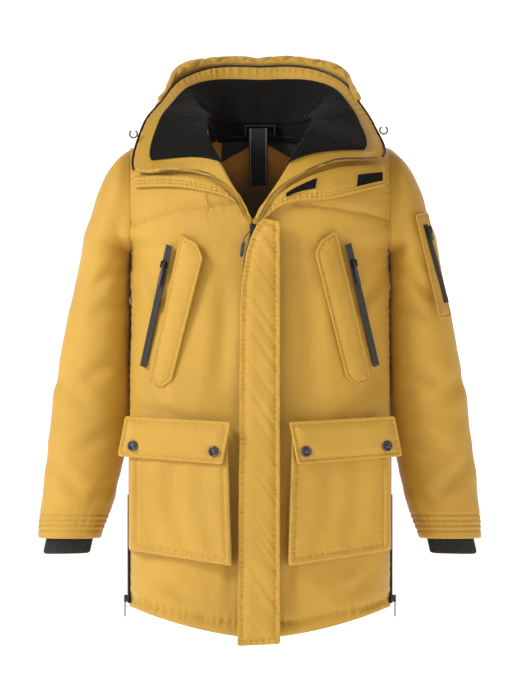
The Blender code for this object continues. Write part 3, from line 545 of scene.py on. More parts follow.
def torso_normal(x, z, facing):
    step = 0.0004
    half = section_half_width(z)
    inside = np.clip(x, -half + 2 * step, half - 2 * step)
    under = np.minimum(z, ridge_z(x) - 2 * step)
    slope_x = torso_y(inside + step, under, facing) - torso_y(inside - step, under, facing)
    slope_z = torso_y(inside, under + step, facing) - torso_y(inside, under - step, facing)
    whole = np.full(np.shape(slope_x), -2 * step)
    normals = unit(np.stack([slope_x, whole, slope_z], axis=-1) * -facing)
    sideways = np.stack([np.sign(x) + 0 * z, 0 * x * z, 0 * x * z], axis=-1)
    return np.where((np.abs(x) > half - step)[..., None], sideways, normals)


def torso_points(x, z, height=0.0, facing=-1):
    x, z = np.broadcast_arrays(np.asarray(x, float), np.asarray(z, float))
    base = np.stack([x, torso_y(x, z, facing) + facing * 0.0003, z], axis=-1)
    return base + torso_normal(x, z, facing) * np.asarray(height)[..., None]


def hem_z(x):
    return mix(HEM_CENTRE_Z, HEM_SIDE_Z, (np.abs(x) / HALF_WIDTH) ** 1.6)


def neck_edge_z(x):
    """Top edge of a front panel at one x: shoulder, neck corner, then the open V."""
    side = 1 if x > ZIP_X else -1
    corner = abs(NECK_CORNER_X[side])
    if abs(x) >= NECK_HALF:
        return ridge_z(x)
    if abs(x) >= corner and x * side > 0:
        return mix(0.0, NECK_CORNER_Z, (NECK_HALF - abs(x)) / (NECK_HALF - corner))
    share = (x - ZIP_X) / (NECK_CORNER_X[side] - ZIP_X)
    return mix(VEE_BOTTOM_Z, NECK_CORNER_Z, share)


# ---- body panels -----------------------------------------------------------------------
# Seams of the body as (x, z).
YOKE = {-1: [(-0.221, -0.170), (-0.173, -0.155), (-0.124, -0.1445), (-0.083, -0.140), (-0.031, -0.135)],
        1: [(0.055, -0.138), (0.130, -0.146), (0.190, -0.156), (0.224, -0.166)]}
BACK_YOKE = [(-0.224, -0.165), (-0.12, -0.150), (0.0, -0.146), (0.12, -0.150), (0.224, -0.165)]
# Soft folds that the hanging body falls into: from, to, width and depth.
FRONT_FOLDS = [((-0.215, -0.235), (-0.150, -0.330), 0.011, 0.0035),
               ((0.215, -0.235), (0.160, -0.320), 0.011, 0.0035),
               ((-0.060, -0.250), (-0.075, -0.470), 0.016, 0.0030),
               ((0.075, -0.260), (0.085, -0.480), 0.018, 0.0030),
               ((-0.205, -0.400), (-0.165, -0.500), 0.014, 0.0030),
               ((0.205, -0.400), (0.150, -0.495), 0.014, 0.0028),
               ((-0.215, -0.480), (-0.120, -0.500), 0.010, 0.0022),
               ((-0.048, -0.520), (-0.052, -0.800), 0.010, 0.0030),
               ((0.045, -0.540), (0.047, -0.820), 0.010, 0.0028),
               ((0.180, -0.760), (0.150, -0.800), 0.012, 0.0030),
               ((-0.180, -0.770), (-0.120, -0.800), 0.012, 0.0030)]
BACK_FOLDS = [((-0.10, -0.20), (-0.13, -0.62), 0.020, 0.0035),
              ((0.09, -0.22), (0.12, -0.60), 0.022, 0.0035),
              ((0.00, -0.35), (0.02, -0.78), 0.018, 0.0030),
              ((-0.205, -0.26), (-0.14, -0.36), 0.012, 0.0035),
              ((0.205, -0.26), (0.14, -0.36), 0.012, 0.0035)]


def fold_relief(x, z, folds):
    """Valleys along soft lines, each with the ridge that it pushes up beside it."""
    total = np.zeros(np.shape(x))
    for start, end, width, depth in folds:
        middle = (mix(start[0], end[0], 0.5) + 0.006, mix(start[1], end[1], 0.5))
        line = along([start, middle, end], np.linspace(0, 1, 9))
        distance, run = near_line(x, z, line)
        length = np.hypot(end[0] - start[0], end[1] - start[1])
        fade = 1.5 * np.sin(pi * np.clip(run / length, 0.04, 0.96)) ** 0.7
        total -= depth * fade * (bump(distance, width) - 0.5 * bump(distance - 1.7 * width, width))
    return total


def body_relief(points, facing):
    x, z = points[..., 0], points[..., 2]
    total = fold_relief(x, z, FRONT_FOLDS if facing < 0 else BACK_FOLDS)
    total += 0.0020 * rough(points, (0.09, 0.09, 0.20), 3.1 + facing)
    total += 0.0011 * rough(points, (0.035, 0.035, 0.06), 7.7)
    total += 0.00045 * rough(points, (0.014, 0.014, 0.018), 1.3)
    lines = [YOKE[-1], YOKE[1]] if facing < 0 else [BACK_YOKE]
    for line in lines:
        distance, run = near_line(x, z, along(line, np.linspace(0, 1, 25)))
        total += seam_relief(distance, run, deep=0.0030, puff=0.009, pucker=0.0004)
        total -= 0.0012 * bump(distance, 0.0018)
    hem_seam = hem_z(x) + mix(0.026, 0.013, np.abs(x) / HALF_WIDTH)
    total += seam_relief(np.abs(z - hem_seam), x, deep=0.0042, puff=0.008, pucker=0.0014, pitch=0.011)
    total -= 0.0016 * bump(z - hem_seam, 0.0018)
    for side in (-1, 1):
        distance = np.abs(side * x - HALF_WIDTH)
        total += seam_relief(distance, z, deep=0.0, puff=0.012, pucker=0.0007, pitch=0.016)
    return total - 0.0012


def body_grid(columns, top_of, rows):
    shares = np.linspace(0, 1, rows) ** 1.35
    x = np.repeat(np.array(columns)[:, None], rows, axis=1)
    tops = np.array([top_of(c) for c in columns])[:, None]
    z = mix(tops, hem_z(x), shares[None, :])
    return x, z


def body_layer(node, columns, top_of, facing, heights, material, relief=True, rows=230):
    x, z = body_grid(columns, top_of, rows)
    base = torso_points(x, z, 0.0, facing)
    edge = edge_distance(base)
    top, bottom = heights
    thickness = top - bottom
    beside_seam = smoothstep(0.002, 0.012, HALF_WIDTH - np.abs(x))
    high = top - mix(0.2, 1.0, beside_seam) * rolled(edge, thickness * 0.25)
    low = bottom + rolled(edge, thickness * 0.2)
    if relief:
        high = high + body_relief(base, facing) * smoothstep(0.0, 0.006, edge)
    else:
        high = high + 0.0006 * rough(base, (0.03, 0.03, 0.05), 5.0) * smoothstep(0, 0.01, edge)
    high = np.maximum(high, low + 0.0004)
    return slab(f"{node}_cloth", torso_points(x, z, high, facing),
                torso_points(x, z, low, facing), material, COAT, [node])


def side_columns(start, stop, count):
    """Places across a panel, closer together at its side seam."""
    return [mix(start, stop, 1 - (1 - k / (count - 1)) ** 1.7) for k in range(count)]


def add_body():
    lining = (-PANEL - SEAM_GAP, -PANEL - SEAM_GAP - LINING)
    for word, side in SIDES.items():
        columns = side_columns(ZIP_X + side * 0.0003, side * HALF_WIDTH, 84)
        panel = body_layer(f"front_panel_{word}", columns, neck_edge_z, -1,
                           (0.0, -PANEL), SHELL)
        sheet = body_layer(f"front_lining_{word}", columns[::3], neck_edge_z, -1, lining,
                           PALE_LINING, relief=False, rows=90)
    half = side_columns(0.0, HALF_WIDTH, 74)
    columns = [-x for x in half[:0:-1]] + half
    panel = body_layer("back_panel", columns, lambda x: ridge_z(x) - 0.001, 1,
                       (0.0, -PANEL), SHELL)
    sheet = body_layer("back_lining", columns[::2], lambda x: ridge_z(x) - 0.001, 1, lining,
                       LINING_CLOTH, relief=False, rows=150)


# ---- stitching -------------------------------------------------------------------------
STITCH = 0.0030
STITCH_STEP = 0.0042
STITCH_RADIUS = 0.00042
stitch_runs = {}


def resampled(points, step):
    points = np.asarray(points, float)
    lengths = np.linalg.norm(np.diff(points, axis=0), axis=1)
    passed = np.concatenate([[0], np.cumsum(lengths)])
    places = np.arange(0, passed[-1], step)
    return np.stack([np.interp(places, passed, points[:, k]) for k in range(3)], axis=-1)


def stitch_along(points, body=COAT, thread="mustard"):
    """Queues a row of stitches along a line of points on the cloth's surface."""
    stitch_runs.setdefault((body, thread), []).append(resampled(points, STITCH_STEP / 4))


def add_stitches():
    """One mesh of short thread lenses for each body and colour of thread."""
    radii = (0.25, 1.0, 0.25)
    for (body, thread), runs in stitch_runs.items():
        verts, faces = [], []
        for run in runs:
            for k in range(0, len(run) - 4, 4):
                ends = run[k], run[k + 3]
                run_way = unit(ends[1] - ends[0])
                side_way = unit(np.cross(run_way, (0.11, -0.93, 0.35)))
                up_way = np.cross(side_way, run_way)
                first = len(verts)
                for share, radius in zip((0, 0.5, 1), radii):
                    centre = mix(ends[0], ends[1], share)
                    for turn in range(4):
                        angle = pi / 4 + turn * pi / 2
                        around = side_way * cos(angle) + up_way * sin(angle)
                        verts.append(centre + around * radius * STITCH_RADIUS)
                for ring in range(2):
                    for turn in range(4):
                        a = first + 4 * ring + turn
                        b = first + 4 * ring + (turn + 1) % 4
                        faces.append((a, b, b + 4, a + 4))
                faces.append(tuple(first + turn for turn in (3, 2, 1, 0)))
                faces.append(tuple(first + 8 + turn for turn in range(4)))
        material = THREAD if thread == "mustard" else BLACK_THREAD
        add_mesh(f"{thread}_stitches_{body}", verts, faces, material, body,
                 tidy=False)


def on_torso(line, height, facing=-1, count=60):
    flat = along(line, np.linspace(0, 1, count))
    base = torso_points(flat[:, 0], flat[:, 1], 0.0, facing)
    return torso_points(flat[:, 0], flat[:, 1], body_relief(base, facing) + height, facing)


def stitch_body():
    for side, line in YOKE.items():
        stitch_along(on_torso([(x, z - 0.0035) for x, z in line], 0.0001))
    stitch_along(on_torso([(x, z - 0.0035) for x, z in BACK_YOKE], 0.0001, 1))
    for facing in (-1, 1):
        half = np.linspace(-0.212, 0.212, 40)
        line = [(x, hem_z(x) + mix(0.026, 0.013, abs(x) / HALF_WIDTH)) for x in half]
        stitch_along(on_torso(line, 0.0003, facing, 300))


# ---- sleeves ------------------------------------------------------------------------------
SLEEVE_GAP = 0.0006
ARMPIT_FILLET = 0.0015
SLEEVE_WALL = 0.008
CROWN = [(0, 0.1745), (8, 0.155), (17, 0.134), (30, 0.108), (48, 0.0870), (70, 0.0825), (90, 0.0830)]
ARM = [(-0.300, 0.2730, 0.0485), (-0.385, 0.2815, 0.0560), (-0.470, 0.2885, 0.0635),
       (-0.560, 0.2985, 0.0655), (-0.640, 0.3105, 0.0620), (-0.705, 0.3250, 0.0535)]
ARMHOLE_CENTRE_Y = -0.016
ARMHOLE_HALF_DEPTH = 0.062
WRIST_CENTRE_Y = 0.015
WRIST_HALF_DEPTH = 0.050
UPPER_HALF_DEPTH = 0.070
CUFF_TOP_Z = -0.668
CUFF_BOTTOM_Z = -0.731
CUFF_HALF = 0.0400
CUFF_WALL = 0.004
SHIRR_ROWS = (-0.664, -0.673, -0.682, -0.691)


def sleeve_depths(share):
    centre = mix(ARMHOLE_CENTRE_Y, WRIST_CENTRE_Y, share)
    if share < 0.3:
        return centre, mix(ARMHOLE_HALF_DEPTH, UPPER_HALF_DEPTH, share / 0.3)
    return centre, mix(UPPER_HALF_DEPTH, WRIST_HALF_DEPTH, (share - 0.3) / 0.7)


def sleeve_ring(side, centre, direction, half_width, centre_y, half_depth, count):
    turn = np.linspace(0, 2 * pi, count, endpoint=False)
    reach = half_width * np.cos(turn)
    return np.stack([side * (centre[0] + direction[0] * reach),
                     centre_y + half_depth * np.sin(turn),
                     centre[1] + direction[1] * reach], axis=-1)


def sleeve_rings(side, count=96):
    armpit_x = HALF_WIDTH + SLEEVE_GAP
    rings = []
    for angle, width in CROWN:
        turn = radians(angle)
        direction = (sin(turn), cos(turn))
        reach = ARMPIT_FILLET + width / 2
        centre = (armpit_x + reach * direction[0], ARMPIT_Z + reach * direction[1])
        centre_y, half_depth = sleeve_depths(0.3 * angle / 90)
        rings.append(sleeve_ring(side, centre, direction, width / 2, centre_y, half_depth, count))
    for z, centre_x, half_width in ARM:
        share = 0.3 + 0.7 * (z - ARMPIT_Z) / (ARM[-1][0] - ARMPIT_Z)
        centre_y, half_depth = sleeve_depths(share)
        rings.append(sleeve_ring(side, (centre_x, z), (1, 0), half_width, centre_y, half_depth, count))
    return np.array(rings)


def smooth_rings(rings, places):
    """The stack of rings at other shares of its length, rounded between them."""
    count = rings.shape[1]
    flat = rings.reshape(len(rings), -1)
    return along(flat, places).reshape(len(places), count, 3)


def sleeve_folds(points, side):
    """Creases at the armpit and the elbow, and the blouse over the cuff."""
    x, z = points[..., 0] * side, points[..., 2]
    folds = [((0.226, -0.235), (0.285, -0.285), 0.010, 0.0030),
             ((0.226, -0.300), (0.290, -0.330), 0.011, 0.0026),
             ((0.235, -0.400), (0.310, -0.445), 0.013, 0.0030),
             ((0.350, -0.420), (0.290, -0.480), 0.014, 0.0028),
             ((0.240, -0.520), (0.320, -0.560), 0.013, 0.0028),
             ((0.360, -0.560), (0.300, -0.630), 0.013, 0.0026),
             ((0.250, -0.610), (0.290, -0.650), 0.010, 0.0026),
             ((0.300, -0.140), (0.315, -0.300), 0.016, 0.0022)]
    total = fold_relief(x, z, folds)
    total += 0.0022 * rough(points, (0.07, 0.07, 0.12), 4.4 + side)
    total += 0.0010 * rough(points, (0.03, 0.03, 0.045), 9.1)
    return total


def fitted_to_armhole(rings, side):
    """The head of the sleeve eased out to meet the edges of the body panels."""
    first = border_distances(rings)[0]
    x = np.full(rings.shape[:2], HALF_WIDTH - 0.002)
    z = np.minimum(rings[..., 2], SHOULDER_TIP_Z - 0.001)
    front, back = torso_y(x, z, -1), torso_y(x, z, 1)
    turn = np.linspace(0, 2 * pi, rings.shape[1], endpoint=False)[None, :]
    edge = mix(front, back, smoothstep(-0.35, 0.35, np.sin(turn)))
    middle = rings.mean(axis=1, keepdims=True)[..., 1]
    edge = middle + (edge - middle) * 0.985
    eased = rings.copy()
    eased[..., 1] = mix(rings[..., 1], edge, bump(first, 0.030))
    eased[..., 0] -= side * 0.0040 * bump(first, 0.004)
    return eased


def ring_directions(rings):
    """Unit vectors out from the middle of each ring."""
    return unit(rings - rings.mean(axis=1, keepdims=True))


def near_armpit(rings, side):
    """1 away from the armpit and 0 at it, where the rings fan out."""
    reach = np.hypot(rings[..., 0] * side - HALF_WIDTH, rings[..., 2] - ARMPIT_Z)
    return smoothstep(0.004, 0.034, reach)


def sleeve_relief(rings, side):
    z = rings[..., 2]
    total = sleeve_folds(rings, side)
    turn = np.linspace(0, 2 * pi, rings.shape[1], endpoint=False)[None, :]
    gathers = np.cos(turn * 34 + 2 * np.sin(turn * 5)) + 0.5 * np.cos(turn * 57)
    for height in SHIRR_ROWS:
        total -= 0.0018 * bump(z - height, 0.0016)
    total += 0.0009 * gathers * bump(z + 0.676, 0.022)
    run = border_distances(rings)[0]
    total += 0.0007 * np.cos(turn * 40 + np.sin(turn * 7)) * bump(run, 0.014)
    press = 0.0042 * np.maximum(-np.cos(turn), 0) ** 3 * smoothstep(-0.60, -0.52, z)
    return total * near_armpit(rings, side) + press


def add_sleeves():
    places = np.concatenate([np.linspace(0, 0.5, 60), np.linspace(0.5, 1, 171)[1:]])
    for word, side in SIDES.items():
        rings = fitted_to_armhole(smooth_rings(sleeve_rings(side), places), side)
        normals = ring_directions(rings)
        first, last = border_distances(rings)[:2]
        edge = np.minimum(first, last)
        high = sleeve_relief(rings, side) * smoothstep(0, 0.006, edge)
        high = high - rolled(last, 0.0020) - rolled(first, 0.0007)
        low = -SLEEVE_WALL + rolled(edge, 0.002)
        high = np.maximum(high, low + 0.001)
        start = np.array((side * (HALF_WIDTH + SLEEVE_GAP), ARMHOLE_CENTRE_Y, ARMPIT_Z)) - LOOP
        end = start + 0.026 * np.array((side * 0.98, 0, -0.2))
        bend = (COAT, f"sleeve_{word}", tuple(start), tuple(end))
        sleeve = tube(f"sleeve_{word}_cloth", rings + normals * high[..., None],
                      rings + normals * low[..., None], SHELL, bend, [f"sleeve_{word}"])
        lining = rings[:-14:3, ::2]
        inward = normals[:-14:3, ::2]
        depth = SLEEVE_WALL + SEAM_GAP + 0.0006
        cloth = tube(f"sleeve_lining_{word}_cloth", lining - inward * depth,
                     lining - inward * (depth + 0.0015), PALE_LINING, bend,
                     [f"sleeve_lining_{word}"])
        add_cuff(word, side)
        for height in SHIRR_ROWS:
            row = np.argmin(np.abs(rings[:, 0, 2] - height))
            ring = rings[row] + normals[row] * (high[row][:, None] + 0.0002)
            stitch_along(np.vstack([ring, ring[:1]]), f"sleeve_{word}")
        add_armhole_stitches(rings, normals, high, side)


def add_armhole_stitches(rings, normals, high, side):
    """Row of stitches on the sleeve, beside the armhole seam."""
    row = int(np.argmin(np.abs(border_distances(rings)[0][:, 0] - 0.007)))
    ring = rings[row] + normals[row] * (high[row][:, None] + 0.0002)
    stitch_along(ring[ring[:, 2] > ARMPIT_Z + 0.04])


def add_cuff(word, side):
    count, ribs = 360, 60
    heights = np.linspace(CUFF_TOP_Z, CUFF_BOTTOM_Z, 22)
    turn = np.linspace(0, 2 * pi, count, endpoint=False)
    rings = []
    for z in heights:
        centre_x = mix(ARM[-2][1], ARM[-1][1], (z - ARM[-2][0]) / (ARM[-1][0] - ARM[-2][0]))
        rings.append(sleeve_ring(side, (centre_x, z), (1, 0), CUFF_HALF, WRIST_CENTRE_Y, CUFF_HALF, count))
    rings = np.array(rings)
    normals = grid_normals(rings, wrap=True)
    last = border_distances(rings)[1]
    ribbing = 0.0007 * np.cos(turn * ribs)[None, :] - 0.0007
    high = ribbing * np.ones_like(last) - rolled(last, 0.003)
    low = -CUFF_WALL + rolled(last, 0.001)
    tube(f"knit_cuff_{word}_rib", rings + normals * high[..., None], rings + normals * low[..., None],
         KNIT_CLOTH, f"sleeve_{word}", [f"knit_cuff_{word}"])


# ---- collar -------------------------------------------------------------------------------
STAND_SEAM = [(0, 0.087, 0.003), (0.050, 0.080, 0.003), (0.080, 0.047, 0.004),
              (0.0925, 0.012, 0.006), (0.0915, -0.035, 0.003)]
STAND_TOP = [(0, 0.117, 0.102), (0.055, 0.114, 0.103), (0.100, 0.100, 0.095),
             (0.141, 0.070, 0.073), (0.166, 0.030, 0.038)]
# Open front of the collar, as (x, z, height over the chest).
WING_SEAM = {1: [(0.088, -0.014, 0.007), (0.076, -0.035, 0.007), (0.045, -0.080, 0.005),
                 (0.020, -0.117, 0.003), (0.000, -0.146, 0.003), (-0.008, -0.163, 0.003)],
             -1: [(-0.0895, -0.014, 0.007), (-0.087, -0.037, 0.007), (-0.062, -0.080, 0.008),
                  (-0.040, -0.116, 0.003), (-0.024, -0.144, 0.003), (-0.016, -0.163, 0.003)]}
WING_EDGE = {1: [(0.184, -0.030, 0.026), (0.197, -0.068, 0.016), (0.121, -0.075, 0.011),
                 (0.060, -0.0985, 0.007), (0.0225, -0.125, 0.005), (-0.003, -0.166, 0.004)],
             -1: [(-0.187, -0.033, 0.030), (-0.202, -0.087, 0.014), (-0.142, -0.088, 0.010),
                  (-0.085, -0.094, 0.009), (-0.044, -0.122, 0.005), (-0.0215, -0.158, 0.004)]}
LAPEL_OUTER = {1: [(0.2075, -0.0725), (0.124, -0.0800), (0.063, -0.103), (0.026, -0.129), (0.002, -0.164)],
               -1: [(-0.209, -0.0915), (-0.143, -0.0925), (-0.087, -0.0985), (-0.047, -0.126), (-0.026, -0.158)]}
LAPEL_LOWER = {1: [(0.2085, -0.108), (0.116, -0.131), (0.062, -0.134), (0.030, -0.146), (0.006, -0.168)],
               -1: [(-0.210, -0.111), (-0.141, -0.111), (-0.078, -0.121), (-0.044, -0.134), (-0.029, -0.162)]}
FLEECE_LOW = COLLAR + 0.0024
FLEECE_PILE = 0.003
FLEECE_END = 7 / 11
FLEECE_TOP = 0.76
HOOD_END = 0.44


def collar_line(side, stand, wing):
    chest = [torso_points(x, z, height) for x, z, height in wing[side]]
    return np.array([(side * x, y, z) for x, y, z in stand] + chest)


COLLAR_SEAM = {side: collar_line(side, STAND_SEAM, WING_SEAM) for side in (-1, 1)}
COLLAR_TOP = {side: collar_line(side, STAND_TOP, WING_EDGE) for side in (-1, 1)}


def collar_edge(places, lines):
    """Points of a collar line; places run -1..1 from the right end to the left end."""
    places = np.asarray(places, float)
    left = along(lines[1], np.abs(places))
    right = along(lines[-1], np.abs(places))
    return np.where((places >= 0)[..., None], left, right)


def collar_grid(places, rises):
    low, high = collar_edge(places, COLLAR_SEAM), collar_edge(places, COLLAR_TOP)
    rises = np.asarray(rises)[None, :, None]
    return low[:, None] + (high - low)[:, None] * rises


def collar_normals(places, rises):
    """Unit vectors towards the lined side of the collar."""
    step = 0.02
    places = np.asarray(places, float)
    start, stop = np.maximum(places - step, -1), np.minimum(places + step, 1)
    round_neck = collar_grid(stop, rises) - collar_grid(start, rises)
    upward = collar_edge(places, COLLAR_TOP) - collar_edge(places, COLLAR_SEAM)
    return unit(np.cross(round_neck, upward[:, None]))


def add_collar():
    places = np.linspace(-1, 1, 330)
    rises = np.linspace(0, 1, 44)
    base = collar_grid(places, rises)
    normals = collar_normals(places, rises)
    edge = edge_distance(base)
    near_top = border_distances(base)[3]
    run = np.repeat(np.cumsum(np.linalg.norm(np.gradient(base[:, -1], axis=0), axis=1))[:, None], 44, axis=1)
    wave = np.cos(2 * pi * run / 0.013 + 2.4 * np.sin(run * 47)) + 0.7 * np.cos(2 * pi * run / 0.0083 + 1)
    standing = smoothstep(0.80, 0.55, np.abs(places))[:, None]
    gathers = 0.0011 * wave * bump(near_top - 0.006, 0.009) * standing
    soft = 0.0014 * rough(base, (0.035, 0.035, 0.035), 2.0) - 0.0006
    outside = soft + gathers * 0.7 - 0.0012 * bump(near_top - 0.006, 0.0016)
    lined = soft + gathers - 0.0010 * bump(near_top - 0.0065, 0.0015)
    lined = lined + rolled(edge, COLLAR * 0.55) * -1
    outside = -outside + rolled(edge, COLLAR * 0.40)
    shell = slab("collar_shell_cloth", base + normals * outside[..., None],
                 base + normals * (COLLAR + lined)[..., None], SHELL, COAT,
                 ["collar_shell"])
    stitch_boxes(base + normals * (COLLAR + lined)[..., None], places)
    row = 44 - 4
    stitch_along(base[:, row] + normals[:, row] * (COLLAR + lined[:, row])[:, None])
    stitch_along(base[:, row] + normals[:, row] * outside[:, row][:, None])
    add_fleece()
    add_edge_zip()


def add_fleece():
    places = np.linspace(-FLEECE_END, FLEECE_END, 260)
    rises = np.linspace(-0.03, FLEECE_TOP, 46)
    ends = mix(1.085, 0.945, np.clip(rises / FLEECE_TOP, 0, 1))
    base = np.stack([collar_grid(places * end, [rise])[:, 0] for rise, end in zip(rises, ends)], axis=1)
    normals = np.stack([collar_normals(places * end, [rise])[:, 0] for rise, end in zip(rises, ends)], axis=1)
    edge = edge_distance(base)
    rolls = 0.0022 * rough(base, (0.05, 0.05, 0.03), 11.0) + 0.0009 * rough(base, (0.012,) * 3, 4.0)
    rolls += 0.0005 * rough(base, (0.0045,) * 3, 8.0)
    crease = np.zeros_like(rolls)
    for side in (-1, 1):
        distance = np.abs(places - side * 0.30)[:, None] + 0.10 * np.linspace(0, 1, 46)[None, :]
        crease -= 0.0035 * bump(distance - 0.05, 0.018)
    high = FLEECE_LOW + FLEECE_PILE + (rolls + crease) * smoothstep(0, 0.01, edge) + 0.0012
    high = high - rolled(edge, 0.0038)
    low = np.full_like(high, FLEECE_LOW - 0.0016)
    fleece = slab("collar_fleece_pile", base + normals * high[..., None],
                  base + normals * low[..., None], FLEECE_CLOTH, COAT, ["collar_fleece"])


def ribbon(name, centre, across, out, half_width, thickness, material, replaces=(), body=COAT):
    """Strip with a toothed middle along a line of points."""
    shares = np.linspace(-1, 1, 9)
    profile = thickness * (0.45 + 0.55 * bump(shares, 0.5))
    teeth = 1 + 0.22 * np.cos(pi * np.arange(len(centre)))[:, None] * bump(shares, 0.45)[None, :]
    top = profile[None, :] * teeth
    base = centre[:, None] + across[:, None] * (shares * half_width)[None, :, None]
    return slab(name, base + out[:, None] * top[..., None],
                base - out[:, None] * (0 * top + thickness * 0.3)[..., None],
                material, body, replaces)


def add_edge_zip():
    """Hood zip along the collar's top, and the main zip's tapes running up both wings."""
    reach = 0.60
    places = np.linspace(-reach, reach, 420)
    edge = collar_edge(places, COLLAR_TOP)
    normals = collar_normals(places, [1.0])[:, 0]
    up = unit(edge - collar_edge(places, COLLAR_SEAM))
    centre = edge + normals * COLLAR * 0.5 + up * 0.0012
    ribbon("hood_zip_coil", centre, normals, up, 0.0026, 0.0026, ZIP_TAPE, ["hood_zip"])
    for word, side, start in (("left", 1, 0.615), ("right", -1, 0.90)):
        places = side * np.linspace(start, 0.985, 300)
        edge = collar_edge(places, COLLAR_TOP)
        normals = collar_normals(places, [1.0])[:, 0]
        up = unit(edge - collar_edge(places, COLLAR_SEAM))
        centre = edge + normals * COLLAR * 0.62 - up * 0.0008
        ribbon(f"collar_zip_{word}", centre, normals * 0.5 + up * 0.85, up * 0.5 + normals * 0.85,
               0.0024, 0.0014, ZIP_TAPE)


def lapel_grid(side, us, vs, outer=LAPEL_OUTER, lower=LAPEL_LOWER):
    a, b = along(outer[side], us), along(lower[side], us)
    return a[:, None] + (b - a)[:, None] * np.asarray(vs)[None, :, None]


def add_lapels():
    for word, side in SIDES.items():
        us, vs = np.linspace(0, 1, 150), np.linspace(0, 1, 34)
        flat = lapel_grid(side, us, vs)
        x, z = flat[..., 0], flat[..., 1]
        base = torso_points(x, z)
        edge = edge_distance(base)
        lower = border_distances(base)[3]
        run = x
        relief = 0.0008 * rough(base, (0.02, 0.02, 0.02), 6.0 + side) - 0.0006
        relief += seam_relief(np.abs(lower - 0.0065), run, 0.0006, 0.004, 0.0006, 0.009)
        relief += seam_relief(np.abs(lower - 0.0115), run, 0.0004, 0.004, 0.0004, 0.010)
        high = COLLAR_LIE + LAPEL + 0.0016 * smoothstep(0, 0.012, edge) + relief - rolled(edge, 0.0035)
        low = COLLAR_LIE + rolled(edge, 0.0008)
        cloth = slab(f"lapel_{word}_cloth", torso_points(x, z, high), torso_points(x, z, low),
                     SHELL, COAT, [f"lapel_{word}"])
        for inset in (0.0065, 0.0115):
            column = [np.argmin(np.abs(lower[k] - inset)) for k in range(4, 146)]
            rows = np.arange(4, 146)
            points = torso_points(x[rows, column], z[rows, column], high[rows, column])
            stitch_along(points)


def stitch_boxes(lined, places):
    """Boxed stitching on the right wing, below the fleece."""
    wing = lined[places < -0.60].reshape(-1, 3)
    boxes = [[(-0.180, -0.068), (-0.134, -0.070), (-0.134, -0.079), (-0.180, -0.080)],
             [(-0.130, -0.066), (-0.098, -0.068), (-0.098, -0.081), (-0.130, -0.081)]]
    for box in boxes:
        for a, b in zip(box, box[1:] + box[:1]):
            flat = np.linspace(a, b, 16)
            away = np.hypot(wing[:, 0] - flat[:, :1], wing[:, 2] - flat[:, 1:])
            stitch_along(wing[away.argmin(axis=1)] + (0, -0.0003, 0.0002))


def add_collar_patches():
    height = COLLAR_LIE + LAPEL + SEAM_GAP + 0.0012
    outer = {1: [(x, z - 0.006) for x, z in LAPEL_OUTER[1]]}
    lower = {1: [(x, z + 0.006) for x, z in LAPEL_LOWER[1]]}
    for name, start, stop, low, high in (("end", 0.02, 0.13, 0.35, 0.9), ("fold", 0.36, 0.62, 0.1, 0.6)):
        us, vs = np.linspace(start, stop, 44), np.linspace(low, high, 18)
        flat = lapel_grid(1, us, vs, outer, lower)
        x, z = flat[..., 0], flat[..., 1]
        base = torso_points(x, z)
        edge = edge_distance(base)
        loops = 0.00035 * rough(base, (0.0016,) * 3, 5.0)
        top = height + 0.0018 + loops - rolled(edge, 0.0016) - 0.0007 * bump(edge - 0.003, 0.0006)
        slab(f"collar_patch_{name}_hook", torso_points(x, z, top), torso_points(x, z, height + 0 * top),
             HOOK_CLOTH, COAT, [f"collar_patch_{name}"])


def add_neck_tape():
    """Black tape over the neck seam, from the fleece down to the facing."""
    places = np.linspace(-0.42, 0.42, 90)
    upper = collar_grid(places, [0.03])[:, 0] + collar_normals(places, [0.03])[:, 0] * (COLLAR + 0.0025)
    x = upper[:, 0]
    lower = torso_points(x, np.full(90, -0.017), -PANEL - LINING - 0.0080, 1)
    shares = np.linspace(0, 1, 12)
    grid = mix(upper[:, None], lower[:, None], shares[None, :, None])
    grid[..., 1] -= 0.0030 * np.sin(pi * shares)[None, :]
    slab("neck_tape", grid, grid + (0, 0.0008, 0), FLEECE_CLOTH, COAT)


def add_neck_pieces():
    add_neck_tape()
    top = -PANEL - LINING - 0.003
    x = np.linspace(-0.07, 0.07, 70)
    shares = np.linspace(0, 1, 30)
    z = mix(np.full((70, 1), -0.006), (-0.018 - 0.55 * np.abs(x))[:, None], shares[None, :])
    x = np.repeat(x[:, None], 30, axis=1)
    base = torso_points(x, z, top, 1)
    ripple = 0.0005 * rough(base, (0.02,) * 3, 3.0)
    cloth = slab("neck_facing_cloth", torso_points(x, z, top + ripple, 1),
                 torso_points(x, z, top - 0.002 + ripple, 1), BLACK_TAPE, COAT, ["neck_facing"])
    low, high = (np.array(c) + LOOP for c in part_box("neck_label"))
    us, vs = np.linspace(0, 1, 14), np.linspace(0, 1, 50)
    grid = np.zeros((14, 50, 3))
    grid[..., 0] = mix(low[0], high[0], us)[:, None]
    grid[..., 2] = mix(high[2], low[2], vs)[None, :]
    curl = 0.0012 * np.sin(vs * 7)[None, :] - 0.0008 * (2 * us - 1)[:, None] ** 2
    grid[..., 1] = low[1] + 0.0006 - np.abs(curl)
    back = grid + (0, 0.0007, 0)
    label = slab("neck_label_weave", grid, back, label_weave(), COAT, ["neck_label"])
    dress("hanger_loop", BLACK_TAPE, 0.0004)


def dress(node, material, bevel=0.0):
    """Gives a CAD piece that keeps its shape its finish and small round edges."""
    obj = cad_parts[node]
    obj.data.materials.clear()
    obj.data.materials.append(material)
    for polygon in obj.data.polygons:
        polygon.material_index = 0
    if bevel:
        edges = obj.modifiers.new("round_edges", "BEVEL")
        edges.width = bevel
        edges.segments = 3
        edges.limit_method = "ANGLE"
        edges.angle_limit = radians(35)


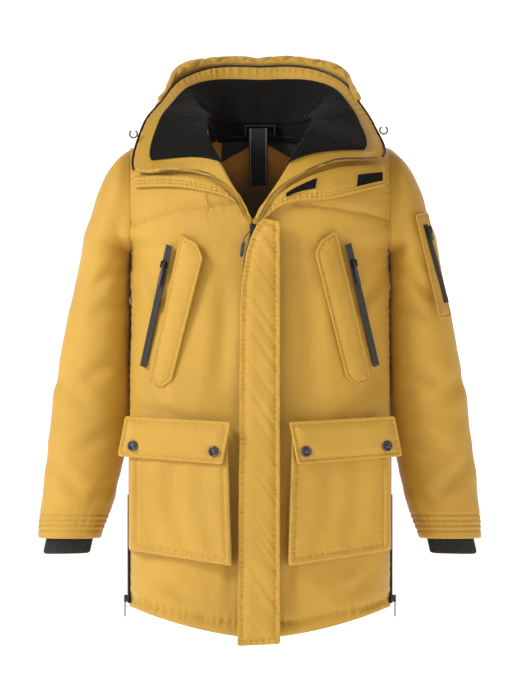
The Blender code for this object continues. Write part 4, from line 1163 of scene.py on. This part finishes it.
# ---- hood ------------------------------------------------------------------------------------
HOOD_WALL = 0.006
HOOD_SECTION = [(0.011, 0.008), (0.020, 0.017), (0.040, 0.016), (0.056, 0.000),
                (0.066, -0.035), (0.072, -0.085), (0.070, -0.135), (0.060, -0.172),
                (0.042, -0.182), (0.028, -0.165)]
HOOD_SIDE_DROP = 0.30


def hood_grid(places, shares):
    section = along(HOOD_SECTION, shares)
    top = collar_edge(places, COLLAR_TOP)
    outward = -collar_normals(places, [1.0])[:, 0]
    outward[:, 2] = 0
    outward = unit(outward)
    taper = (1 - (np.abs(places) / HOOD_END) ** 2.5)[:, None]
    height = section[None, :, 1]
    drop = np.where(height > 0, height, height * mix(HOOD_SIDE_DROP, 1, taper))
    spread = section[None, :, 0] * mix(0.85, 1, taper)
    grid = top[:, None] + outward[:, None] * spread[..., None]
    grid[..., 2] += drop
    return grid


RIM_FOLDS = (-0.135, -0.094, -0.052, -0.017, 0.022, 0.060, 0.105, 0.140)


def rim_folds(x, from_zip):
    """Pointed tucks that run from the hood's rim down to its zip."""
    total = np.zeros_like(x)
    for k, apex in enumerate(RIM_FOLDS):
        wide = 0.012 + 0.005 * (k % 3)
        tall = 0.019 + 0.003 * (k % 2)
        for way in (-1, 1):
            line = [(apex, tall), (apex + way * wide, 0.001)]
            distance, _ = near_line(x, from_zip, line)
            total -= 0.0042 * bump(distance, 0.0026)
    return total


def add_hood():
    places = np.linspace(-HOOD_END, HOOD_END, 210)
    shares = np.linspace(0, 1, 110)
    base = hood_grid(places, shares)
    normals = grid_normals(base, (0, 1, 0.3))
    edge = edge_distance(base)
    first, last, from_zip, from_end = border_distances(base)
    run = np.repeat(np.cumsum(np.linalg.norm(np.gradient(base[:, 2], axis=0), axis=1))[:, None], 110, axis=1)
    wave = np.cos(2 * pi * run / 0.021 + 2.0 * np.sin(run * 31)) + 0.5 * np.cos(2 * pi * run / 0.009)
    high = 0.0035 + 0.0004 * wave * bump(from_zip - 0.006, 0.008)
    high += 0.0030 * smoothstep(0.08, 0.14, np.abs(base[..., 0]))
    high += rim_folds(base[..., 0], from_zip)
    high += 0.0035 * rough(base, (0.06, 0.06, 0.08), 2.6) + 0.0010 * rough(base, (0.025,) * 3, 6.1)
    for drop in (0.055, 0.105, 0.160):
        high -= 0.0035 * bump(from_zip - drop - 0.012 * np.sin(run * 19), 0.007)
    high += seam_relief(np.abs(run - run[:, 0].max() / 2), from_zip, 0.0018, 0.009, 0.0006, 0.011)
    high += seam_relief(np.abs(from_zip - 0.031), run, 0.0010, 0.006, 0.0003, 0.014)
    high = high * smoothstep(0, 0.010, edge) - rolled(edge, 0.003)
    low = np.minimum(high, 0) * 0.4 - HOOD_WALL + rolled(edge, 0.002)
    start = np.array((0, 0.128, 0.100)) - LOOP
    end = start + (0, 0.036, 0)
    hood = slab("hood_shell_cloth", base + normals * high[..., None], base + normals * low[..., None],
                SHELL, (COAT, "hood", tuple(start), tuple(end)), ["hood_shell"])
    column = int(np.argmin(np.abs(from_zip[105] - 0.034)))
    stitch_along(base[6:-6, column] + normals[6:-6, column] * high[6:-6, column][:, None])


# ---- hood cords --------------------------------------------------------------------------------
CORD_DIAMETER = 0.003
CORD_LOOP = 0.0065
CORD_PLACE = 0.53
CORD_TURNS = (radians(60), radians(-240))


def cord_points(side):
    place = np.array([side * CORD_PLACE])
    top = collar_edge(place, COLLAR_TOP)[0] + collar_normals(place, [1.0])[0, 0] * COLLAR
    points = []
    for turn in np.linspace(*CORD_TURNS, 15):
        points.append(top + (side * (0.008 + CORD_LOOP * cos(turn)), -0.010, 0.005 + CORD_LOOP * sin(turn)))
    return np.array(points) - LOOP


def add_hood_cords():
    """Elastic cord loops that leave the collar beside the hood and go back into it."""
    for word, side in SIDES.items():
        points = cord_points(side)
        curve = bpy.data.curves.new(f"elastic_{word}", "CURVE")
        curve.dimensions = "3D"
        curve.bevel_depth = CORD_DIAMETER / 2
        curve.bevel_resolution = 4
        curve.use_fill_caps = True
        spline = curve.splines.new("POLY")
        spline.points.add(len(points) - 1)
        for knot, place in zip(spline.points, points):
            knot.co = (*place, 1)
        curve.materials.append(BRAID)
        cord = bpy.data.objects.new(f"elastic_{word}", curve)
        bpy.context.collection.objects.link(cord)
        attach(cord, COAT)
        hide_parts(f"hood_cord_{word}")


def braided_cord():
    finish = Finish("braided_elastic", 0.7, sheen=0.2)
    finish.colour(finish.noise(700, 1), (0.012, 0.012, 0.012), (0.30, 0.30, 0.29), (0.52, 0.60))
    finish.raise_by(finish.wave(700, "DIAGONAL"), 0.6, 0.0004)
    return finish.material


BRAID = braided_cord()


# ---- plates: flaps, placket and pocket fronts ----------------------------------------------------
def flat_face(node, toward):
    """Outline, round its border, and normal of a CAD piece's largest face that looks one way."""
    bm = bmesh.new()
    bm.from_mesh(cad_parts[node].data)
    bmesh.ops.remove_doubles(bm, verts=bm.verts, dist=2e-5)
    bm.normal_update()
    facing = [f for f in bm.faces if f.normal.dot(Vector(toward)) > 0.4]
    largest = max(facing, key=lambda f: f.calc_area())
    normal = largest.normal.copy()
    level = normal.dot(largest.calc_center_median())
    chosen = {f for f in facing if f.normal.dot(normal) > 0.999
              and abs(normal.dot(f.calc_center_median()) - level) < 2e-4}
    following = {}
    for face in chosen:
        for loop in face.loops:
            if sum(other in chosen for other in loop.edge.link_faces) == 1:
                following[loop.vert] = loop.link_loop_next.vert
    start = next(iter(following))
    outline, vert = [], start
    while True:
        outline.append(tuple(vert.co))
        vert = following[vert]
        if vert is start:
            break
    bm.free()
    return np.array(outline) + LOOP, np.array(normal)


class Plane:
    """Flat coordinates on a face: right, up and out."""

    def __init__(self, origin, normal):
        self.origin = origin
        self.out = np.array(normal, float)
        up = np.array((0, 0, 1.0)) - self.out * self.out[2]
        self.up = up / np.linalg.norm(up)
        self.right = np.cross(self.up, self.out)

    def flat(self, points):
        away = np.asarray(points) - self.origin
        return np.stack([away @ self.right, away @ self.up], axis=-1)

    def place(self, flat, height=0.0):
        flat = np.asarray(flat)
        height = np.broadcast_to(height, flat.shape[:-1])[..., None]
        return self.origin + flat[..., :1] * self.right + flat[..., 1:] * self.up + height * self.out


def closed_path(corners, step, soften):
    """Even points round a closed outline, with its corners rounded."""
    loop = np.vstack([corners, corners[:1]])
    lengths = np.linalg.norm(np.diff(loop, axis=0), axis=1)
    passed = np.concatenate([[0], np.cumsum(lengths)])
    count = max(int(passed[-1] / step), 12)
    places = np.linspace(0, passed[-1], count, endpoint=False)
    path = np.stack([np.interp(places, passed, loop[:, k]) for k in range(2)], axis=-1)
    for _ in range(soften):
        path = 0.25 * np.roll(path, 1, axis=0) + 0.5 * path + 0.25 * np.roll(path, -1, axis=0)
    return path


def inward(path, distance):
    """The closed path moved in from its border."""
    tangent = unit(np.roll(path, -1, axis=0) - np.roll(path, 1, axis=0))
    normal = np.stack([-tangent[:, 1], tangent[:, 0]], axis=-1)
    area = (path[:, 0] * np.roll(path[:, 1], -1) - np.roll(path[:, 0], -1) * path[:, 1]).sum()
    return path + normal * distance * np.sign(area)


def inside(points, path):
    x, y = points[:, :1], points[:, 1:]
    x1, y1 = path[:, 0], path[:, 1]
    x2, y2 = np.roll(x1, -1), np.roll(y1, -1)
    crosses = (y1 > y) != (y2 > y)
    rise = np.where(np.abs(y2 - y1) < 1e-12, 1e-12, y2 - y1)
    return (crosses & (x < (x2 - x1) * (y - y1) / rise + x1)).sum(axis=1) % 2 == 1


def filled(path, step, insets):
    """Triangles that fill a closed path, with rings of points close to its border."""
    loop = np.vstack([path, path[:1]])
    extra = [inward(path, inset) for inset in insets]
    low, high = path.min(axis=0), path.max(axis=0)
    columns = np.arange(low[0], high[0], step)
    rows = np.arange(low[1], high[1], step * 0.866)
    lattice = [(x + (k % 2) * step / 2, y) for k, y in enumerate(rows) for x in columns]
    groups = []
    for k, ring in enumerate(extra):
        distance, _ = near_line(ring[:, 0], ring[:, 1], loop)
        groups.append(ring[inside(ring, path) & (distance > insets[k] * 0.9)])
    lattice = np.array(lattice)
    distance, _ = near_line(lattice[:, 0], lattice[:, 1], loop)
    groups.append(lattice[inside(lattice, path) & (distance > insets[-1] + 0.5 * step)])
    points = np.vstack([path] + groups)
    edges = [(k, (k + 1) % len(path)) for k in range(len(path))]
    found = delaunay_2d_cdt([Vector(p) for p in points], edges, [], 1, 1e-7)
    return np.array([tuple(v) for v in found[0]]), [tuple(f) for f in found[2]]


def cloth_plate(node, toward, body, name, thick, crown=0.0015, soften=4, edge=0.0028, stitch=0.0062,
                second=None, fine=0.0026, relief=None, material=None,
                pucker=0.00045):
    """Padded plate over a CAD plate, with a stitched border."""
    outline, normal = flat_face(node, toward)
    plane = Plane(outline[0], normal)
    path = closed_path(plane.flat(outline), fine * 0.75, soften)
    insets = [0.0006, 0.0015, 0.003, stitch - 0.0012, stitch, stitch + 0.0012]
    flat, faces = filled(path, fine, insets)
    loop = np.vstack([path, path[:1]])
    distance, run = near_line(flat[:, 0], flat[:, 1], loop)

    def height_at(places, distance, run):
        high = crown * smoothstep(stitch, stitch + 0.014, distance) - rolled(distance, edge)
        high = high + seam_relief(np.abs(distance - stitch), run, 0.0006, 0.004, pucker, 0.009)
        if second:
            high = high + seam_relief(np.abs(distance - second), run, 0.0004, 0.004, pucker, 0.009)
        space = plane.place(places)
        wrinkles = 0.0006 * rough(space, (0.02, 0.02, 0.03), 3.3) + 0.0008 * rough(space, 0.05, 8.8)
        if relief:
            wrinkles = wrinkles + relief(space)
        return high + (wrinkles - 0.0002) * smoothstep(0, 0.004, distance)

    high = np.maximum(height_at(flat, distance, run), -thick * 0.7)
    top = plane.place(flat, high)
    low = plane.place(flat, -thick + rolled(distance, thick * 0.25))
    total = len(flat)
    sides = {}
    for a, b, c in faces:
        for edge_pair in ((a, b), (b, c), (c, a)):
            sides[edge_pair] = True
    border = [pair for pair in sides if (pair[1], pair[0]) not in sides]
    faces_all = faces + [(c + total, b + total, a + total) for a, b, c in faces]
    faces_all += [(b, a, a + total, b + total) for a, b in border]
    obj = add_mesh(name, np.vstack([top, low]), faces_all, material or SHELL, body, [node])
    for inset in [stitch] + ([second] if second else []):
        ring = inward(path, inset)
        ring_distance, ring_run = near_line(ring[:, 0], ring[:, 1], loop)
        keep = inside(ring, path) & (ring_distance > inset * 0.85)
        points = plane.place(ring, height_at(ring, ring_distance, ring_run) + 0.0001)
        stitch_along(points[keep], body)
    return plane, path


def diagonal_pulls(space):
    """Soft slanting wrinkles where the placket is held by its stitching."""
    x, z = space[..., 0], space[..., 2]
    slope = z + x * 1.5
    slanted = np.stack([0 * slope, 0.1 * x, slope], axis=-1)
    pulls = rough(slanted, (1, 0.02, 0.017), 1.7) + 0.5 * rough(slanted, (1, 0.02, 0.008), 5.7)
    return 0.0018 * pulls * mix(0.35, 1.0, smoothstep(-0.02, 0.02, x))


def add_placket():
    cloth_plate("placket", (0, -1, 0), "placket", "placket_cloth", 0.006, crown=0.0020, soften=3,
                edge=0.0030, stitch=0.0085, second=0.0045, fine=0.0032, relief=diagonal_pulls, pucker=0.0006)


def snap_dimples(word):
    """Hollows that the two snaps press into a pocket flap."""
    centres = [np.mean(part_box(f"snap_cap_{spot}_{word}"), axis=0) for spot in ("inner", "outer")]

    def relief(space):
        away = [np.hypot(space[..., 0] - c[0], space[..., 2] - c[2]) for c in centres]
        return -0.0050 * bump(np.minimum(*away), 0.011)
    return relief


def add_flaps():
    for word, side in SIDES.items():
        front = (0.35 * side, -1, 0)
        cloth_plate(f"chest_flap_{word}", front, f"chest_flap_{word}", f"chest_flap_{word}_cloth",
                    0.004, crown=0.0022, soften=5, edge=0.0025, stitch=0.0052)
        cloth_plate(f"cargo_flap_{word}", front, f"cargo_flap_{word}", f"cargo_flap_{word}_cloth",
                    0.0045, crown=0.0032, soften=5, edge=0.003, stitch=0.0065,
                    relief=snap_dimples(word))
    cloth_plate("arm_pocket_panel", (0.8, -0.6, 0.1), "sleeve_left", "arm_pocket_cloth", 0.003,
                crown=0.0004, soften=2, edge=0.0012, stitch=0.0032, fine=0.0022, pucker=0.0003)


# ---- cargo pockets -----------------------------------------------------------------------------------
def add_cargo_pockets():
    for word, side in SIDES.items():
        node = f"cargo_pocket_{word}"
        outline, normal = flat_face(node, (0.3 * side, -1, 0))
        plane = Plane(outline[0], normal)
        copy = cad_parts[node].data.copy()
        obj = bpy.data.objects.new(f"cargo_bag_{word}", copy)
        bpy.context.collection.objects.link(obj)
        remesh = obj.modifiers.new("remesh", "REMESH")
        remesh.mode = "VOXEL"
        remesh.voxel_size = 0.0023
        soften = obj.modifiers.new("soften", "SMOOTH")
        soften.factor = 0.5
        soften.iterations = 7
        evaluated = obj.evaluated_get(bpy.context.evaluated_depsgraph_get())
        made = bpy.data.meshes.new_from_object(evaluated)
        points = np.array([v.co for v in made.vertices]) + LOOP
        normals = np.array([v.normal for v in made.vertices])
        faces = [tuple(p.vertices) for p in made.polygons]
        bpy.data.objects.remove(obj, do_unlink=True)
        flat = plane.flat(points)
        loop = closed_path(plane.flat(outline), 0.004, 3)
        distance, run = near_line(flat[:, 0], flat[:, 1], np.vstack([loop, loop[:1]]))
        outside = (normals @ plane.out > 0.5)
        depth = (points - plane.origin) @ plane.out
        front = smoothstep(-0.006, -0.001, depth) * outside
        relief = bag_relief(points, flat, distance, run)
        points = points + plane.out * (relief * front)[:, None]
        cloth = add_mesh(f"cargo_pocket_{word}_cloth", points, faces, SHELL, COAT,
                         [node], tidy=False)
        for inset in (0.0040, 0.0105):
            ring = inward(loop, inset)
            ring_distance, ring_run = near_line(ring[:, 0], ring[:, 1], np.vstack([loop, loop[:1]]))
            keep = inside(ring, loop) & (ring_distance > inset * 0.85)
            space = plane.place(ring)
            lift = bag_relief(space, ring, ring_distance, ring_run)
            lower = plane.flat(space)[:, 1] < plane.flat(outline)[:, 1].max() - 0.03
            stitch_along(plane.place(ring, lift + 0.0001)[keep & lower])


def bag_relief(points, flat, distance, run):
    """Soft upright creases of a full pocket, and the stitching at its border."""
    x, z = flat[..., 0], flat[..., 1]
    creases = 0.0012 * np.sin(x * 2 * pi / 0.052 + 3 * np.sin(z * 14))
    creases += 0.0016 * rough(points, (0.045, 0.045, 0.10), 5.5)
    creases += 0.0006 * rough(points, (0.016, 0.016, 0.022), 2.2)
    border = seam_relief(np.abs(distance - 0.0105), run, 0.0012, 0.004, 0.0006, 0.011)
    return creases * smoothstep(0.004, 0.02, distance) + border - 0.0012


# ---- zips -----------------------------------------------------------------------------------------------
def add_coated_zip(node, toward, body, deep=0.0019):
    """Coated tape whose two lips meet over the coil."""
    outline, normal = flat_face(node, toward)
    sides = np.roll(outline, -1, axis=0) - outline
    longest = int(np.argmax(np.linalg.norm(sides, axis=1)))
    a, b, c, d = (outline[(longest + k) % 4] for k in range(4))
    start, end = (a + d) / 2, (b + c) / 2
    half = np.linalg.norm(a - d) / 2
    across = unit(a - d)
    length = np.linalg.norm(end - start)
    rows = int(length / 0.0011)
    shares = np.array([-1, -0.97, -0.88, -0.72, -0.5, -0.34, -0.22, -0.1, -0.04, 0,
                       0.04, 0.1, 0.22, 0.34, 0.5, 0.72, 0.88, 0.97, 1])
    runs = np.linspace(0, length, rows)
    profile = -0.0009 * bump(shares, 0.07) + 0.0002 * bump(np.abs(shares) - 0.2, 0.12)
    profile = profile - rolled((1 - np.abs(shares)) * half, 0.0007) - 0.0002 * bump(np.abs(shares) - 0.72, 0.05)
    ribs = 0.00014 * np.cos(2 * pi * runs / 0.0022)[:, None] * bump(np.abs(shares) - 0.2, 0.16)[None, :]
    base = start + unit(end - start) * runs[:, None, None] + across * (shares * half)[None, :, None]
    high = profile[None, :] + ribs
    slab(f"{node}_tape", base + normal * high[..., None], base - normal * deep * np.ones_like(high)[..., None],
         ZIP_TAPE, body, [node])
    for share in (-0.8, 0.8):
        line = np.array([start, end]) + across * half * share
        stitch_along(line + normal * 0.0001, body, "black")


def add_zips():
    for word, side in SIDES.items():
        add_coated_zip(f"chest_zip_{word}", (0.6 * side, -0.8, 0), COAT)
        add_coated_zip(f"side_zip_{word}", (side, 0, 0), COAT, deep=0.0038)
    add_coated_zip("arm_zip", (0.8, -0.6, 0.1), "sleeve_left")
    add_main_tapes()
    for prefix in ("main_zip", "chest_zip_left", "chest_zip_right", "arm_zip", "side_zip_left", "side_zip_right"):
        dress(f"{prefix}_slider", SLIDER_METAL, 0.0004)
        if prefix != "main_zip":
            add_pull(f"{prefix}_pull")
    add_main_pull()


def add_main_tapes():
    """Main zip tapes, folded narrow at the neck and full width under the placket."""
    for word, side in SIDES.items():
        low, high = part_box(f"main_zip_tape_{word}")
        wide = high[0] - low[0]
        z = np.linspace(high[2], low[2], 240)
        shares = np.array([0, 0.04, 0.2, 0.5, 0.8, 0.96, 1.0])
        width = mix(0.0048, wide, smoothstep(high[2] - 0.012, high[2] - 0.07, z))
        grid = np.zeros((240, 7, 3))
        grid[..., 0] = ZIP_X + side * (0.0003 + shares[None, :] * width[:, None])
        grid[..., 1] = low[1] + LOOP[1] + 0.0002
        grid[..., 2] = z[:, None]
        drop = rolled(np.minimum(shares, 1 - shares)[None, :] * width[:, None], 0.0006)
        front = grid + drop[..., None] * np.array((0, 1, 0))
        slab(f"main_tape_{word}", front, grid + (0, 0.0017, 0), ZIP_TAPE, COAT,
             [f"main_zip_tape_{word}"])


MAIN_PULL = [(0.0, -0.0), (-0.0135, -0.016), (-0.0155, -0.024), (-0.0195, -0.049)]


def bar(name, line, widths, thick, material, body, replaces=()):
    """Rounded bar lofted along a line of points."""
    turns = np.linspace(0, 2 * pi, 16, endpoint=False)
    tangent = unit(np.gradient(line, axis=0))
    across = unit(np.cross(tangent, (0.0, -1.0, 0.0)))
    out = np.cross(across, tangent)
    squared = np.sign(np.cos(turns)) * np.abs(np.cos(turns)) ** 0.6
    lifted = np.sign(np.sin(turns)) * np.abs(np.sin(turns)) ** 0.6
    rings = (line[:, None] + across[:, None] * (squared[None, :] * widths[:, None])[..., None]
             + out[:, None] * (lifted[None, :] * thick[:, None])[..., None])
    count = len(line)
    faces = grid_faces(count, 16, wrap=True)
    faces += [tuple(range(16)), tuple((count - 1) * 16 + k for k in range(16))]
    return add_mesh(name, rings.reshape(-1, 3), faces, material, body, replaces)


def add_main_pull():
    """Cord from the slider into a flat ribbed grip."""
    low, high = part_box("main_zip_pull")
    y = (low[1] + high[1]) / 2 + LOOP[1]
    line = along([(high[0] - 0.0018 + x, y, high[2] + z) for x, z in MAIN_PULL], np.linspace(0, 1, 90))
    cord, grip = line[:62], line[60:]
    bar("main_pull_cord", cord, np.full(62, 0.0008), np.full(62, 0.0008), BLACK_THREAD,
        "main_zip_pull", ["main_zip_pull"])
    share = np.linspace(0, 1, 30)
    ends = np.sqrt(np.clip(1 - (2 * share - 1) ** 12, 0.04, 1))
    ribs = 1 + 0.10 * np.cos(share * 2 * pi * 7)
    bar("main_pull_grip", grip, 0.0030 * ends, 0.0013 * ends * ribs, GUNMETAL,
        "main_zip_pull")


def add_pull(node):
    """Moulded pull with small round edges."""
    dress(node, RUBBER, 0.0007)
    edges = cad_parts[node].modifiers["round_edges"]
    edges.segments = 4


def add_main_zip_coil():
    """Coil teeth of the open main zip, down the middle of its tapes."""
    low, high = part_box("main_zip_tape_left")
    y = low[1] + LOOP[1]
    count = 360
    z = np.linspace(high[2] - 0.002, low[2] + 0.002, count)
    centre = np.stack([np.full(count, ZIP_X), np.full(count, y - 0.0002), z], axis=-1)
    across = np.tile((1.0, 0, 0), (count, 1))
    out = np.tile((0, -1.0, 0), (count, 1))
    ribbon("main_zip_coil", centre, across, out, 0.0030, 0.0009, ZIP_TAPE)


# ---- snaps --------------------------------------------------------------------------------------------
CAP_PROFILE = [(0.0, 0.62), (0.22, 0.62), (0.36, 0.50), (0.42, 0.30), (0.55, 0.30), (0.62, 0.62),
               (0.72, 0.92), (0.82, 1.0), (0.92, 0.88), (0.99, 0.55), (1.0, 0.1)]
STUD_PROFILE = [(0.0, 0.9), (0.35, 1.0), (0.55, 0.85), (0.62, 0.4), (0.8, 0.35), (0.95, 0.3), (1.0, 0.05)]


def add_snap(node, side, profile, body):
    outline, normal = flat_face(node, (0.3 * side, -1, 0))
    centre = outline.mean(axis=0)
    plane = Plane(centre, normal)
    radius = np.linalg.norm(outline - centre, axis=1).mean()
    low, high = (np.array(corner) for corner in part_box(node))
    tall = 0.003 if "cap" in node else 0.002
    turns = np.linspace(0, 2 * pi, 56, endpoint=False)
    circle = np.stack([np.cos(turns), np.sin(turns)], axis=-1)
    places = along([(r, h, 0) for r, h in profile], np.linspace(0, 1, 44))
    rings = [plane.place(circle * max(r, 0.001) * radius, (h - 1) * tall) for r, h in places[:, :2]]
    back = plane.place(circle * 0.97 * radius, -tall)
    rings.append(back)
    verts = np.vstack(rings)
    faces = grid_faces(len(rings), 56, wrap=True)
    faces.append(tuple(range(56)))
    faces.append(tuple((len(rings) - 1) * 56 + k for k in range(56)))
    add_mesh(f"{node}_metal", verts, faces, GUNMETAL, body, [node])


def add_snaps():
    for word, side in SIDES.items():
        for spot in ("inner", "outer"):
            add_snap(f"snap_cap_{spot}_{word}", side, CAP_PROFILE, f"cargo_flap_{word}")
            add_snap(f"snap_stud_{spot}_{word}", side, STUD_PROFILE, COAT)


add_camera()
add_hood_cords()
add_stage()
add_body()
add_sleeves()
add_collar()
add_lapels()
add_collar_patches()
add_neck_pieces()
add_hood()
add_placket()
add_flaps()
add_cargo_pockets()
add_zips()
add_main_zip_coil()
add_snaps()
stitch_body()
add_stitches()
